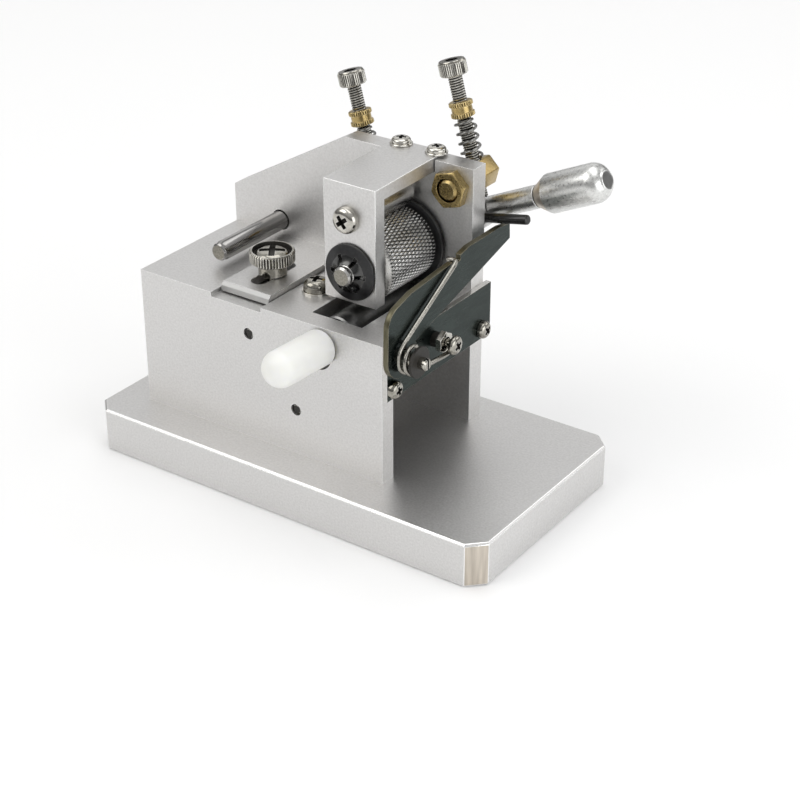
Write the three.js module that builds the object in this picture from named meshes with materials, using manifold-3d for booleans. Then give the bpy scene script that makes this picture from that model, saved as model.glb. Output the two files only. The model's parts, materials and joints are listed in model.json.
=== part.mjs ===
// Hand paper fringer for quilling strips: a knurled feed roller, a shear blade and one lever on a bench base.
// Millimetres, +X along the base in the direction that the strip travels, +Y to the rear plate, +Z up.
// The origin is the middle of the base plate's underside.

import * as THREE from 'three';
import { mergeVertices } from 'three/addons/utils/BufferGeometryUtils.js';
import Module from 'manifold-3d';

const wasm = await Module();
wasm.setup();

// Clearances
const seatGap = 0.25;
const runGap = 0.3;

// Base plate
const baseLength = 96;
const baseWidth = 50;
const baseThickness = 9.5;
const baseCorner = 3.3;
const baseEdge = 0.4;

// Body: a front wall and a deck milled as one inverted L
const bodyLength = 60;
const bodyInset = 7.9;
const bodyLeft = bodyInset - baseLength / 2;
const bodyRight = bodyLeft + bodyLength;
const bodyFront = -16.2;
const bodyDepth = 30.5;
const frontWall = 3.6;
const deckTop = 39.5;
const deckThickness = 4;
const deckUnder = deckTop - deckThickness;

// Rear plate
const rearFront = bodyFront + bodyDepth;
const rearThickness = 4.3;
const rearBack = rearFront + rearThickness;
const rearTop = 64.8;
const rearShoulderZ = 48;
const rearSlopeLength = 29.3;
const screwDepth = 6;

// Feed roller and its shaft
const rollerInset = 15;
const rollerX = bodyRight - rollerInset;
const rollerZ = 46.8;
const rollerRadius = 7.5;
const rollerFront = -2;
const rollerChamfer = 0.5;
const shaftRadius = 2;
const shaftFront = -8.6;
const shaftRear = rearBack + 11.9;
const washerRadius = 8.9;
const washerThickness = 0.7;
const bushRadius = 3.2;
const clipRadius = 5.85;
const clipThickness = 0.5;
const clipDish = 1;
const clipSlotWidth = 1.6;
const clipSlotReach = 4;

// Roller bracket
const bracketLeft = rollerX - 6.4;
const bracketWidth = 12.2;
const bracketThickness = 3;
const bracketProud = 0.4;
const cheekFront = -5.26;
const cheekBottom = 40.2;
const spacerRadius = 3;
const spacerNeckRadius = 1.6;
const cheekScrewX = rollerX - 0.75;
const cheekScrewZ = 57.6;
const cheekScrewLength = 9;
const bracketScrewShift = 0.77;
const bracketScrewSpacing = 8.4;
const bracketScrewY = rearBack - 1.7;
const bracketScrewLength = 8;
const bracketCollar = 2.3;
const bracketCollarHeight = 0.4;
const bracketHeadHeight = 1.1;

// Guide pin over the strip
const guidePinX = rollerX - 32.8;
const guidePinZ = 42.6;
const guidePinRadius = 2;
const guidePinFront = -6.1;

// Strip guide and its thumbscrew
const guideCentreX = rollerX - 20.25;
const guideWidth = 12;
const guideFront = -13.3;
const guideStepY = 4.8;
const guideRear = 9.5;
const guideTop = 40.7;
const guideRecess = 1;
const guideLip = 0.8;
const guideSlotWidth = 3.5;
const guideSlotFront = -10.2;
const guideSlotRear = 2;
const guideTravelBack = 3.7;
const thumbscrewY = -4.3;
const thumbHeadRadius = 4.6;
const thumbRimHeight = 2.6;
const thumbNeckRadius = 2.9;
const thumbNeckHeight = 2.4;
const thumbShankRadius = 1;
const thumbTeeth = 32;
const thumbCrossWidth = 1;

// Window in the deck and the pinch roller under it
const windowLeft = rollerX - 4.6;
const windowWidth = 11.9;
const windowFront = -11.9;
const pinchX = rollerX + 0.2;
const pinchZ = 35;
const pinchRadius = 4;
const pinchAxleRadius = 1.4;
const armThickness = 1.2;
const armFront = -11.6;
const armPivotX = rollerX - 17.3;
const armPivotZ = 32.9;
const armPivotRadius = 2.3;
const armEndRadius = 2.6;
const armPinRadius = 1;
const armWebLeft = armPivotX + 3;
const armWebWidth = 2.6;
const armWebHeight = 3.4;
const axleHoleX = rollerX - 0.3;
const axleHoleZ = 33.6;
const axleHoleRadius = 3.4;
const anchorPinX = rollerX - 5.9;
const anchorPinZ = 19.4;
const capRadius = 3.7;
const capLength = 15.7;
const capBoreDepth = 9.6;
const capRise = 0.5;
const capShift = 0.6;
const capLean = 3;
const pinRecess = 0.3;

// Shear blades on the right end
const fixedBladeThickness = 1.2;
const fixedBladeBottom = 28;
const fixedBladeRear = rearBack + 1.1;
const movingBladeThickness = 1.2;
const pivotY = -13.1;
const pivotZ = 36.9;
const pivotRadius = 1.5;
const pivotDepth = 5.4;
const pivotReach = 8.4;
const pivotTipRadius = 1.2;
const pivotDiscRadius = 3.15;
const pivotDiscThickness = 0.6;
const bladeRoundRadius = 4.6;
const bladeRoundY = -0.3;
const bladeRoundZ = 0.5;
const bladeEdgeAngle = 15.7;
const bladeTailY = 37.1;
const bladeTailZ = 10.9;
const bladeTailHeight = 3.2;
const bladeNotchY = 16.5;
const bladeNotchWidth = 2.7;
const bladeNotchZ = 12.7;
const bladeScrewZ = 30.2;
const anchorY = -0.4;
const anchorZ = 35;
const anchorRadius = 0.95;
const anchorNutFlats = 4;
const anchorNutHeight = 1.3;
const anchorCollar = 1.6;
const anchorBareShank = 1.4;
const bladeWire = 0.9;
const bladeCoilRadius = 2.65;
const bladeCoilPitch = 1.45;
const bladeCoilTurns = 1.25;
const bladeLegAngle = 29.5;

// Stop screws on cross-drilled hexagon posts behind the rear plate
const stopTilt = 15.8;
const stopInset = 4.78;
const stopRightX = bodyRight - stopInset;
const stopRightZ = rearTop - stopInset;
const stopSpacing = 25.32;
const stopScrewY = rearBack + 4.15;
const postFlats = 5.8;
const postLength = 7.8;
const postStudRadius = 2.2;
const postNutFlats = 7;
const postNutHeight = 2;
const postStudStand = 0.2;
const stopScrewRadius = 1.45;
const stopHeadRadius = 2.8;
const stopHeadHeight = 3;
const stopHeadTop = 23.15;
const stopScrewTip = -4.85;
const insertRadius = 2.4;
const insertLength = 3.1;
const insertTop = 14.9;
const insertTeeth = 14;
const stopWire = 0.5;
const stopCoilRadius = 2;
const stopCoilTurns = 4;

// Lever, its rocker and the striker pin
const leverAngle = 24.8;
const rockerFront = rearBack + 0.6;
const rockerThickness = 5.2;
const hubRadius = 7.5;
const hubRear = rearBack + 10.4;
const clutchRadius = 3.95;
const clutchLength = 8;
const rockerRight = rollerInset - 1.05;
const rockerLeft = 12.5;
const rockerHalf = 2.4;
const rockerRightHalf = 3;
const leverY = rearBack + 6.9;
const rodRadius = 2.4;
const rodEnd = 25.5;
const spigotRadius = 1.4;
const spigotLength = 5;
const gripRadius = 4;
const gripShoulder = 1.7;
const gripEnd = 42;
const gripDome = 3.4;
const strikerAngle = 11.2;
const strikerX = rollerInset + fixedBladeThickness + runGap + movingBladeThickness / 2;
const strikerY = rearBack + 2.6;
const strikerZ = 6.01;
const strikerRadius = 1;
const strikerInner = -8;
const strikerOuter = 6.6;
const returnPinOut = 11;
const returnPinRadius = 1;
const returnPegZ = 21;
const returnPegRadius = 1.2;
const returnWire = 0.6;
const returnCoilRadius = 2.1;
const returnCoilPitch = 1.1;
const returnCoilTurns = 10;
const returnY = rearBack + 6.3;

// Torsion spring of the release arm
const releaseWire = 0.7;
const releaseCoilRadius = 1.9;
const releaseCoilPitch = 1.2;
const releaseY = -2;
const releaseLegLength = 7;
const releaseTurns = 3;

// Fasteners
const screw3 = { shank: 1.45, head: 2.9, height: 2.2, slot: 0.8 };
const screw25 = { shank: 1.2, head: 2.3, height: 1.6, slot: 0.65 };
const screw2 = { shank: 0.95, head: 1.95, height: 1.6, slot: 0.5 };
const baseScrewInset = 6;
const baseScrewDepth = 6;
const baseScrewHead = 2.35;
const baseScrewSink = 0.2;
const topScrewHead = 2.75;
const topScrewLength = 6;
const topScrewX = rollerX - 9.65;
const topScrewY = -3.9;
const topWasherThickness = 0.5;

// Values that follow from the driving dimensions
const bracketRight = bracketLeft + bracketWidth;
const bracketMiddle = bracketLeft + bracketWidth / 2;
const bracketTop = rearTop + bracketProud;
const bracketUnder = bracketTop - bracketThickness;
const cheekBack = cheekFront + bracketThickness;
const wallInside = bodyFront + frontWall;
const rearMiddle = (rearFront + rearBack) / 2;
const frontMiddle = bodyFront + frontWall / 2;
const rollerRear = rearFront - washerThickness - 0.4;
const armRear = rearFront - 0.8;
const fixedBladeOuter = bodyRight + fixedBladeThickness;
const movingBladeInner = fixedBladeOuter + runGap;
const movingBladeOuter = movingBladeInner + movingBladeThickness;
const anchorHeadX = fixedBladeOuter + anchorCollar + anchorNutHeight + anchorBareShank;
const bladeCoilX = movingBladeOuter + 0.35 + bladeWire / 2;
const radians = THREE.MathUtils.degToRad;
const releaseLegStand = armPinRadius + releaseWire / 2 + runGap;
const releaseReach = Math.hypot(anchorPinX - armPivotX, anchorPinZ - armPivotZ);
const releaseLeave = Math.atan2(anchorPinZ - armPivotZ, anchorPinX - armPivotX)
  + Math.acos((releaseCoilRadius - releaseLegStand) / releaseReach);
const releaseSweep = 2 * Math.PI * releaseTurns + 1.5 * Math.PI - releaseLeave;
const releaseLegY = releaseY + releaseCoilPitch * releaseSweep / (2 * Math.PI);
const rollerSides = 48;
const rodSides = 24;
const smallSides = 14;
const screwSides = 16;
const springSides = 5;
const springSteps = 8;

const aluminium = { color: 0xcfd0d2, roughness: 0.42, metalness: 0.9 };
const steel = { color: 0xb6b7b8, roughness: 0.25, metalness: 1 };
const darkSteel = { color: 0x2b2f31, roughness: 0.4, metalness: 0.85 };
const blackSteel = { color: 0x141414, roughness: 0.35, metalness: 0.6 };
const brass = { color: 0xa98a45, roughness: 0.35, metalness: 0.95 };
const bronze = { color: 0x8b6c3c, roughness: 0.5, metalness: 0.8 };
const whiteVinyl = { color: 0xece9e2, roughness: 0.45, metalness: 0 };

// Turns a closed geometry into a solid that can be cut and joined.
function toSolid(geometry) {
  const bare = geometry.clone();
  bare.deleteAttribute('normal');
  bare.deleteAttribute('uv');
  const merged = mergeVertices(bare, 1e-4);
  const corners = merged.index.array;
  const kept = [];
  for (let i = 0; i < corners.length; i += 3) {
    const [a, b, c] = [corners[i], corners[i + 1], corners[i + 2]];
    if (a !== b && b !== c && c !== a) kept.push(a, b, c);
  }
  const vertProperties = new Float32Array(merged.attributes.position.array);
  return new wasm.Manifold(new wasm.Mesh({ numProp: 3, vertProperties, triVerts: new Uint32Array(kept) }));
}

function toGeometry(solid) {
  const mesh = solid.getMesh();
  const geometry = new THREE.BufferGeometry();
  geometry.setAttribute('position', new THREE.BufferAttribute(new Float32Array(mesh.vertProperties), 3));
  geometry.setIndex(new THREE.BufferAttribute(new Uint32Array(mesh.triVerts), 1));
  geometry.computeVertexNormals();
  return geometry;
}

function join(...geometries) {
  return geometries.map(toSolid).reduce((whole, piece) => whole.add(piece));
}

function cut(body, ...tools) {
  return tools.reduce((left, tool) => left.subtract(toSolid(tool)), body.subtract ? body : toSolid(body));
}

function block(x0, x1, y0, y1, z0, z1) {
  const box = new THREE.BoxGeometry(x1 - x0, y1 - y0, z1 - z0);
  return box.translate((x0 + x1) / 2, (y0 + y1) / 2, (z0 + z1) / 2);
}

function cylinderX(radius, x0, x1, y, z, sides = rodSides) {
  const cylinder = new THREE.CylinderGeometry(radius, radius, x1 - x0, sides);
  return cylinder.rotateZ(Math.PI / 2).translate((x0 + x1) / 2, y, z);
}

function cylinderY(radius, y0, y1, x, z, sides = rodSides) {
  return new THREE.CylinderGeometry(radius, radius, y1 - y0, sides).translate(x, (y0 + y1) / 2, z);
}

function cylinderZ(radius, z0, z1, x, y, sides = rodSides) {
  const cylinder = new THREE.CylinderGeometry(radius, radius, z1 - z0, sides);
  return cylinder.rotateX(Math.PI / 2).translate(x, y, (z0 + z1) / 2);
}

// An outline drawn in X and Z, given depth from y0 to y1.
function plateY(outline, y0, y1, curveSegments = 12) {
  const shape = outline instanceof THREE.Shape ? outline : polygon(outline);
  const plate = new THREE.ExtrudeGeometry(shape, { depth: y1 - y0, bevelEnabled: false, curveSegments });
  return plate.rotateX(Math.PI / 2).translate(0, y1, 0);
}

// An outline drawn in Y and Z, given depth from x0 to x1.
function plateX(outline, x0, x1, curveSegments = 12) {
  const shape = outline instanceof THREE.Shape ? outline : polygon(outline);
  const plate = new THREE.ExtrudeGeometry(shape, { depth: x1 - x0, bevelEnabled: false, curveSegments });
  const toYZ = new THREE.Matrix4().makeBasis(
    new THREE.Vector3(0, 1, 0),
    new THREE.Vector3(0, 0, 1),
    new THREE.Vector3(1, 0, 0),
  );
  return plate.applyMatrix4(toYZ).translate(x0, 0, 0);
}

function polygon(points) {
  return new THREE.Shape(points.map(([a, b]) => new THREE.Vector2(a, b)));
}

// A profile of [radius, height] pairs turned round the Z axis.
function turned(profile, sides = rodSides) {
  const lathe = new THREE.LatheGeometry(profile.map(([r, h]) => new THREE.Vector2(r, h)), sides);
  return lathe.rotateX(Math.PI / 2);
}

// A ring of square-cut teeth round the Z axis, such as a knurled rim.
function toothedDisc(radius, depth, teeth, z0, z1) {
  const outline = [];
  for (let i = 0; i < teeth; i++) {
    for (const [share, r] of [[0, radius], [0.45, radius], [0.6, radius - depth], [0.85, radius - depth]]) {
      const angle = (i + share) / teeth * 2 * Math.PI;
      outline.push([r * Math.cos(angle), r * Math.sin(angle)]);
    }
  }
  const disc = new THREE.ExtrudeGeometry(polygon(outline), { depth: z1 - z0, bevelEnabled: false });
  return disc.translate(0, 0, z0);
}

// A hexagon bar along Z with a flat facing +Y and its corners chamfered at the chosen ends.
function hexagonBar(flats, z0, z1, chamferLow, chamferHigh) {
  const corner = flats / Math.sqrt(3);
  const bar = new THREE.CylinderGeometry(corner, corner, z1 - z0, 6);
  bar.rotateX(Math.PI / 2).rotateZ(Math.PI / 6).translate(0, 0, (z0 + z1) / 2);
  const fall = 0.5 * (corner - flats / 2 + 0.15);
  const low = chamferLow ? flats / 2 - 0.15 : corner + 1;
  const high = chamferHigh ? flats / 2 - 0.15 : corner + 1;
  const reach = corner + 0.1;
  const turning = turned([[0, z0], [low, z0], [reach, z0 + fall], [reach, z1 - fall], [high, z1], [0, z1]], 24);
  return toSolid(bar).intersect(toSolid(turning));
}

// A wire through points, closed at both ends, with its frame carried along without twist.
function wire(points, radius, sides = springSides) {
  const positions = [];
  const faces = [];
  const tangents = points.map((point, i) => {
    const before = points[Math.max(i - 1, 0)];
    const after = points[Math.min(i + 1, points.length - 1)];
    return after.clone().sub(before).normalize();
  });
  const normal = new THREE.Vector3(0.31, 0.52, 0.79).cross(tangents[0]).normalize();
  points.forEach((point, i) => {
    if (i > 0) normal.sub(tangents[i].clone().multiplyScalar(normal.dot(tangents[i]))).normalize();
    const side = tangents[i].clone().cross(normal);
    for (let k = 0; k < sides; k++) {
      const angle = k / sides * 2 * Math.PI;
      const spoke = normal.clone().multiplyScalar(Math.cos(angle)).addScaledVector(side, Math.sin(angle));
      positions.push(...point.clone().addScaledVector(spoke, radius).toArray());
    }
  });
  for (let i = 0; i < points.length - 1; i++) {
    for (let k = 0; k < sides; k++) {
      const [a, b] = [i * sides + k, i * sides + (k + 1) % sides];
      faces.push(a, b, b + sides, a, b + sides, a + sides);
    }
  }
  const last = (points.length - 1) * sides;
  for (let k = 1; k < sides - 1; k++) {
    faces.push(0, k + 1, k, last, last + k, last + k + 1);
  }
  const tube = new THREE.BufferGeometry();
  tube.setAttribute('position', new THREE.BufferAttribute(new Float32Array(positions), 3));
  tube.setIndex(faces);
  tube.computeVertexNormals();
  return tube;
}

// The least distance between stretches of a wire that are more than a turn's quarter apart along it.
function reportWireGap(name, points, diameter, apart) {
  let least = Infinity;
  for (let i = 0; i < points.length; i++) {
    for (let j = i + apart; j < points.length; j++) {
      least = Math.min(least, points[i].distanceTo(points[j]));
    }
  }
  console.log(`${name}: least gap to itself ${(least - diameter).toFixed(2)} mm`);
}

function screwDriverCross(headRadius, top, depth, width) {
  const reach = headRadius * 0.58;
  return [
    block(-reach, reach, -width / 2, width / 2, top - depth, top + 1),
    block(-width / 2, width / 2, -reach, reach, top - depth, top + 1),
  ];
}

// A pan-head screw along Z. Its head, or the collar under the head, stands on z = 0.
function panScrew({ shank, head, height, slot, collar = 0, collarHeight = 0 }, length) {
  const tip = Math.min(0.4, length / 4);
  const top = collarHeight + height;
  const profile = [
    [0, -length],
    [shank - tip, -length],
    [shank, -length + tip],
    [shank, 0],
  ];
  if (collarHeight > 0) profile.push([collar, 0], [collar, collarHeight]);
  profile.push(
    [head, collarHeight],
    [head, collarHeight + height * 0.4],
    [head * 0.88, collarHeight + height * 0.78],
    [head * 0.55, collarHeight + height * 0.97],
    [0, top],
  );
  return cut(turned(profile, screwSides), ...screwDriverCross(head, top, height * 0.6, slot));
}

const part = new THREE.Group();

function place(name, solid, finish, parent = part) {
  const geometry = solid.getMesh ? toGeometry(solid) : toGeometry(toSolid(solid));
  const mesh = new THREE.Mesh(geometry, new THREE.MeshStandardMaterial(finish));
  mesh.name = name;
  parent.add(mesh);
  return mesh;
}

function baseScrewPlaces() {
  const left = bodyLeft + baseScrewInset;
  const right = bodyRight - baseScrewInset;
  return [
    ['base_screw_front_left', left, frontMiddle],
    ['base_screw_front_right', right, frontMiddle],
    ['base_screw_rear_left', left, rearMiddle],
    ['base_screw_rear_right', right, rearMiddle],
  ];
}

function makeBasePlate() {
  const [l, w, c] = [baseLength / 2, baseWidth / 2, baseCorner];
  const outline = polygon([
    [-l + c, -w], [l - c, -w], [l, -w + c], [l, w - c], [l - c, w], [-l + c, w], [-l, w - c], [-l, -w + c],
  ]);
  const plate = new THREE.ExtrudeGeometry(outline, {
    depth: baseThickness - 2 * baseEdge,
    bevelThickness: baseEdge,
    bevelSize: baseEdge,
    bevelOffset: -baseEdge,
    bevelSegments: 1,
  });
  plate.translate(0, 0, baseEdge);
  const holes = baseScrewPlaces().flatMap(([, x, y]) => {
    const hole = screw25.shank + seatGap;
    const sink = baseScrewHead + seatGap;
    const sinkProfile = [[0, -1], [sink, -1], [sink, baseScrewSink], [hole, sink - hole], [0, sink - hole]];
    const countersink = turned(sinkProfile, smallSides);
    return [cylinderZ(hole, -1, baseThickness + 1, x, y, smallSides), countersink.translate(x, y, 0)];
  });
  place('base_plate', cut(plate, ...holes), aluminium);
}

function makeBaseScrews() {
  const length = baseThickness + baseScrewDepth;
  for (const [name, x, y] of baseScrewPlaces()) {
    const profile = [
      [0, 0],
      [baseScrewHead, 0],
      [baseScrewHead, 0.15],
      [screw25.shank, baseScrewHead - screw25.shank],
      [screw25.shank, length - 0.4],
      [screw25.shank - 0.4, length],
      [0, length],
    ];
    const recess = baseScrewHead * 0.55;
    const screw = cut(
      turned(profile, smallSides),
      block(-recess, recess, -0.3, 0.3, -1, 0.8),
      block(-0.3, 0.3, -recess, recess, -1, 0.8),
    );
    place(name, screw, steel).position.set(x, y, baseScrewSink);
  }
}

function baseScrewHoles(y) {
  return baseScrewPlaces()
    .filter(([, , screwY]) => screwY === y)
    .map(([, x]) => cylinderZ(screw25.shank + seatGap, 0, baseThickness + baseScrewDepth + 1, x, y, smallSides));
}

function rearScrewPlaces() {
  return [
    ['rear_plate_screw_left', bodyLeft + baseScrewInset + 2],
    ['rear_plate_screw_right', bodyRight - baseScrewInset + 1.5],
  ];
}

function slotShape(halfWidth, low, high, middle) {
  const shape = new THREE.Shape();
  shape.moveTo(middle + halfWidth, low + halfWidth);
  shape.lineTo(middle + halfWidth, high - halfWidth);
  shape.absarc(middle, high - halfWidth, halfWidth, 0, Math.PI, false);
  shape.lineTo(middle - halfWidth, low + halfWidth);
  shape.absarc(middle, low + halfWidth, halfWidth, Math.PI, 2 * Math.PI, false);
  return shape;
}

function makeBodyBlock() {
  const profile = [
    [bodyFront, baseThickness],
    [wallInside, baseThickness],
    [wallInside, deckUnder],
    [rearFront, deckUnder],
    [rearFront, deckTop],
    [bodyFront, deckTop],
  ];
  const guideHalf = guideWidth / 2 + seatGap;
  const recessRear = guideStepY + guideTravelBack + runGap;
  const deckScrewZ = deckTop - deckThickness / 2;
  const pinHole = armPinRadius + seatGap;
  const bladeHole = screw2.shank + seatGap;
  const tools = [
    block(windowLeft, windowLeft + windowWidth, windowFront, rearFront + 1, deckUnder - 1, deckTop + 1),
    block(guideCentreX - guideHalf, guideCentreX + guideHalf, bodyFront - 1, recessRear, deckTop - guideRecess, 60),
    cylinderZ(thumbShankRadius + seatGap, deckUnder - 1, deckTop, guideCentreX, thumbscrewY, smallSides),
    cylinderZ(screw3.shank + seatGap, deckUnder - 1, deckTop + 1, topScrewX, topScrewY, smallSides),
    cylinderY(axleHoleRadius, bodyFront - 1, wallInside + 1, axleHoleX, axleHoleZ, 32),
    cylinderY(washerRadius + runGap, rollerRear - runGap, rearFront + 1, rollerX, rollerZ, 36),
    cylinderY(pinHole, bodyFront - 1, wallInside + 1, armPivotX, armPivotZ, smallSides),
    cylinderY(pinHole, bodyFront - 1, wallInside + 1, anchorPinX, anchorPinZ, smallSides),
    cylinderX(pivotRadius + seatGap, bodyRight - pivotDepth - seatGap, bodyRight + 1, pivotY, pivotZ, smallSides),
    cylinderX(bladeHole, bodyRight - screwDepth, bodyRight + 1, frontMiddle, bladeScrewZ, smallSides),
    ...rearScrewPlaces().map(([, x]) => (
      cylinderY(screw25.shank + seatGap, rearFront - screwDepth, rearFront + 1, x, deckScrewZ, smallSides)
    )),
    ...baseScrewHoles(frontMiddle),
  ];
  place('body_block', cut(plateX(profile, bodyLeft, bodyRight), ...tools), aluminium);
}

function makeRearPlate() {
  const outline = [
    [bodyLeft, baseThickness],
    [bodyRight, baseThickness],
    [bodyRight, rearTop],
    [bodyLeft + rearSlopeLength, rearTop],
    [bodyLeft, rearShoulderZ],
  ];
  const through = [rearFront - 1, rearBack + 1];
  const tools = [
    block(bracketLeft - seatGap, bracketRight + seatGap, ...through, bracketUnder, rearTop + 1),
    cylinderY(bushRadius + seatGap, ...through, rollerX, rollerZ),
    cylinderY(guidePinRadius + seatGap, ...through, guidePinX, guidePinZ),
    cylinderY(armPinRadius + seatGap, rearFront - 1, rearFront + 2.5, armPivotX, armPivotZ, smallSides),
    cylinderY(armPinRadius + seatGap, rearFront - 1, rearFront + 2.5, anchorPinX, anchorPinZ, smallSides),
    cylinderY(screw2.shank + seatGap, ...through, cheekScrewX, cheekScrewZ, smallSides),
    cylinderY(returnPegRadius + seatGap, ...through, returnX, returnPegZ, smallSides),
    cylinderX(screw2.shank + seatGap, bodyRight - screwDepth, bodyRight + 1, rearMiddle, bladeScrewZ, smallSides),
    ...stopPlaces.map(([, x, z]) => cylinderY(postStudRadius + seatGap, ...through, x, z)),
    ...bracketScrewHoles(),
    ...rearScrewPlaces().map(([, x]) => (
      cylinderY(screw25.shank + seatGap, ...through, x, deckTop - deckThickness / 2, smallSides)
    )),
    ...baseScrewHoles(rearMiddle),
  ];
  place('rear_plate', cut(plateY(outline, rearFront, rearBack), ...tools), aluminium);
}

const bracketScrewPlaces = [
  ['bracket_screw_left', bracketMiddle + bracketScrewShift - bracketScrewSpacing / 2],
  ['bracket_screw_right', bracketMiddle + bracketScrewShift + bracketScrewSpacing / 2],
];
const stopPlaces = [
  ['left', stopRightX - stopSpacing * Math.cos(radians(stopTilt)), stopRightZ - stopSpacing * Math.sin(radians(stopTilt))],
  ['right', stopRightX, stopRightZ],
];
const returnX = rollerX - returnPinOut * Math.cos(radians(leverAngle));

function makeRearPlateScrews() {
  for (const [name, x] of rearScrewPlaces()) {
    const screw = place(name, panScrew(screw25, rearThickness + screwDepth - 1), steel);
    screw.rotation.x = -Math.PI / 2;
    screw.position.set(x, rearBack, deckTop - deckThickness / 2);
  }
}

function bracketScrewHoles() {
  const bottom = bracketTop - bracketScrewLength - 1;
  return bracketScrewPlaces.map(([, x]) => (
    cylinderZ(screw2.shank + seatGap, bottom, bracketTop + 1, x, bracketScrewY, smallSides)
  ));
}

function makeRollerBracket() {
  const profile = [
    [cheekFront, cheekBottom],
    [cheekBack, cheekBottom],
    [cheekBack, bracketUnder],
    [rearBack, bracketUnder],
    [rearBack, bracketTop],
    [rearFront, bracketTop],
    [cheekFront, rearTop],
  ];
  const tools = [
    cylinderY(bushRadius + seatGap, cheekFront - 1, cheekBack + 1, rollerX, rollerZ),
    cylinderY(screw3.shank + seatGap, cheekFront - 1, cheekBack + 1, cheekScrewX, cheekScrewZ, smallSides),
    ...bracketScrewHoles(),
  ];
  place('roller_bracket', cut(plateX(profile, bracketLeft, bracketRight), ...tools), aluminium);
  const collar = { collar: bracketCollar, collarHeight: bracketCollarHeight };
  const collared = { ...screw2, ...collar, height: bracketHeadHeight };
  for (const [name, x] of bracketScrewPlaces) {
    place(name, panScrew(collared, bracketScrewLength), steel).position.set(x, bracketScrewY, bracketTop);
  }
  const cheekScrew = place('cheek_screw', panScrew(screw3, cheekScrewLength), steel);
  cheekScrew.rotation.x = Math.PI / 2;
  cheekScrew.position.set(cheekScrewX, cheekFront, cheekScrewZ);
}

// The round post that ties the cheek to the rear plate, above the roller, with a screw in each end.
function makeSpacerPost() {
  const [front, rear] = [cheekBack, rearFront];
  const post = join(
    cylinderY(spacerRadius, front, rollerRear - runGap, cheekScrewX, cheekScrewZ),
    cylinderY(spacerNeckRadius, rollerRear - 1, rear, cheekScrewX, cheekScrewZ),
  );
  const tools = [
    cylinderY(screw3.shank + seatGap, front - 1, front + cheekScrewLength - 2, cheekScrewX, cheekScrewZ, smallSides),
    cylinderY(screw2.shank + seatGap, rear - screwDepth + 0.5, rear + 1, cheekScrewX, cheekScrewZ, smallSides),
  ];
  place('spacer_post', cut(post, ...tools), darkSteel);
  const screw = place('spacer_screw', panScrew(screw2, rearThickness + screwDepth - 1), steel);
  screw.rotation.x = -Math.PI / 2;
  screw.position.set(cheekScrewX, rearBack, cheekScrewZ);
}

// Knurled drum on a plain shaft, pinned together in use and turning as one.
function makeFeedRoller(group) {
  const [front, rear, r, c] = [rollerFront, rollerRear, rollerRadius, rollerChamfer];
  const drum = turned([[0, front], [r - c, front], [r, front + c], [r, rear - c], [r - c, rear], [0, rear]], rollerSides);
  const bore = cylinderZ(shaftRadius + seatGap, front - 1, rear + 1, 0, 0);
  place('feed_roller', cut(drum, bore), steel, group);
  const chamfer = 0.4;
  const shaft = [
    [0, shaftFront],
    [shaftRadius - chamfer, shaftFront],
    [shaftRadius, shaftFront + chamfer],
    [shaftRadius, shaftRear - chamfer],
    [shaftRadius - chamfer, shaftRear],
    [0, shaftRear],
  ];
  place('roller_shaft', turned(shaft), steel, group);
  const washer = cylinderZ(washerRadius, rear, rear + washerThickness, 0, 0, 36);
  const washerBore = cylinderZ(shaftRadius + seatGap, rear - 1, rear + 2, 0, 0);
  place('roller_washer', cut(washer, washerBore), blackSteel, group);
}

// A dished push-on clip with gripping tongues round the shaft.
function makeRetainerClip(group) {
  const inner = shaftRadius + seatGap;
  const rim = cheekFront - runGap;
  const neck = rim - clipDish;
  const profile = [
    [inner, neck],
    [clipRadius * 0.62, neck],
    [clipRadius, rim - clipThickness * 0.4],
    [clipRadius, rim],
    [clipRadius - 0.5, rim],
    [clipRadius * 0.6, neck + clipThickness],
    [inner, neck + clipThickness],
    [inner, neck],
  ];
  const slots = [0, 1, 2, 3, 4, 5].map((i) => {
    const slot = block(0, clipSlotReach, -clipSlotWidth / 2, clipSlotWidth / 2, neck - 1, rim + 1);
    return slot.rotateZ(radians(60 * i + 30));
  });
  place('retainer_clip', cut(turned(profile, 36), ...slots), blackSteel, group);
  const clipFront = hubRear + runGap;
  const endClip = turned([
    [shaftRadius + 0.2, clipFront],
    [shaftRadius * 2.2, clipFront],
    [shaftRadius * 2.2, clipFront + 0.7],
    [shaftRadius + 0.2, clipFront + 0.7],
    [shaftRadius + 0.2, clipFront],
  ]);
  const mouth = block(0, 6, -1, 1, clipFront - 1, clipFront + 2);
  place('shaft_end_clip', cut(endClip, mouth), blackSteel, group);
}

function makeBushes() {
  for (const [name, y0, y1] of [
    ['front_bush', cheekFront + 0.1, cheekBack - 0.1],
    ['rear_bush', rearFront, rearBack],
  ]) {
    const bore = cylinderY(shaftRadius + seatGap, y0 - 1, y1 + 1, rollerX, rollerZ);
    place(name, cut(cylinderY(bushRadius, y0, y1, rollerX, rollerZ), bore), bronze);
  }
}

function makeGuidePin() {
  const [front, rear, r] = [guidePinFront, rearBack - 0.3, guidePinRadius];
  const neck = 1.4;
  const pin = turned([
    [0, front],
    [r - 0.5, front],
    [r - 0.15, front + 0.3],
    [r - 0.15, front + neck - 0.3],
    [r, front + neck],
    [r, rear],
    [0, rear],
  ]);
  const mesh = place('guide_pin', pin, steel);
  mesh.rotation.x = -Math.PI / 2;
  mesh.position.set(guidePinX, 0, guidePinZ);
}

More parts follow.
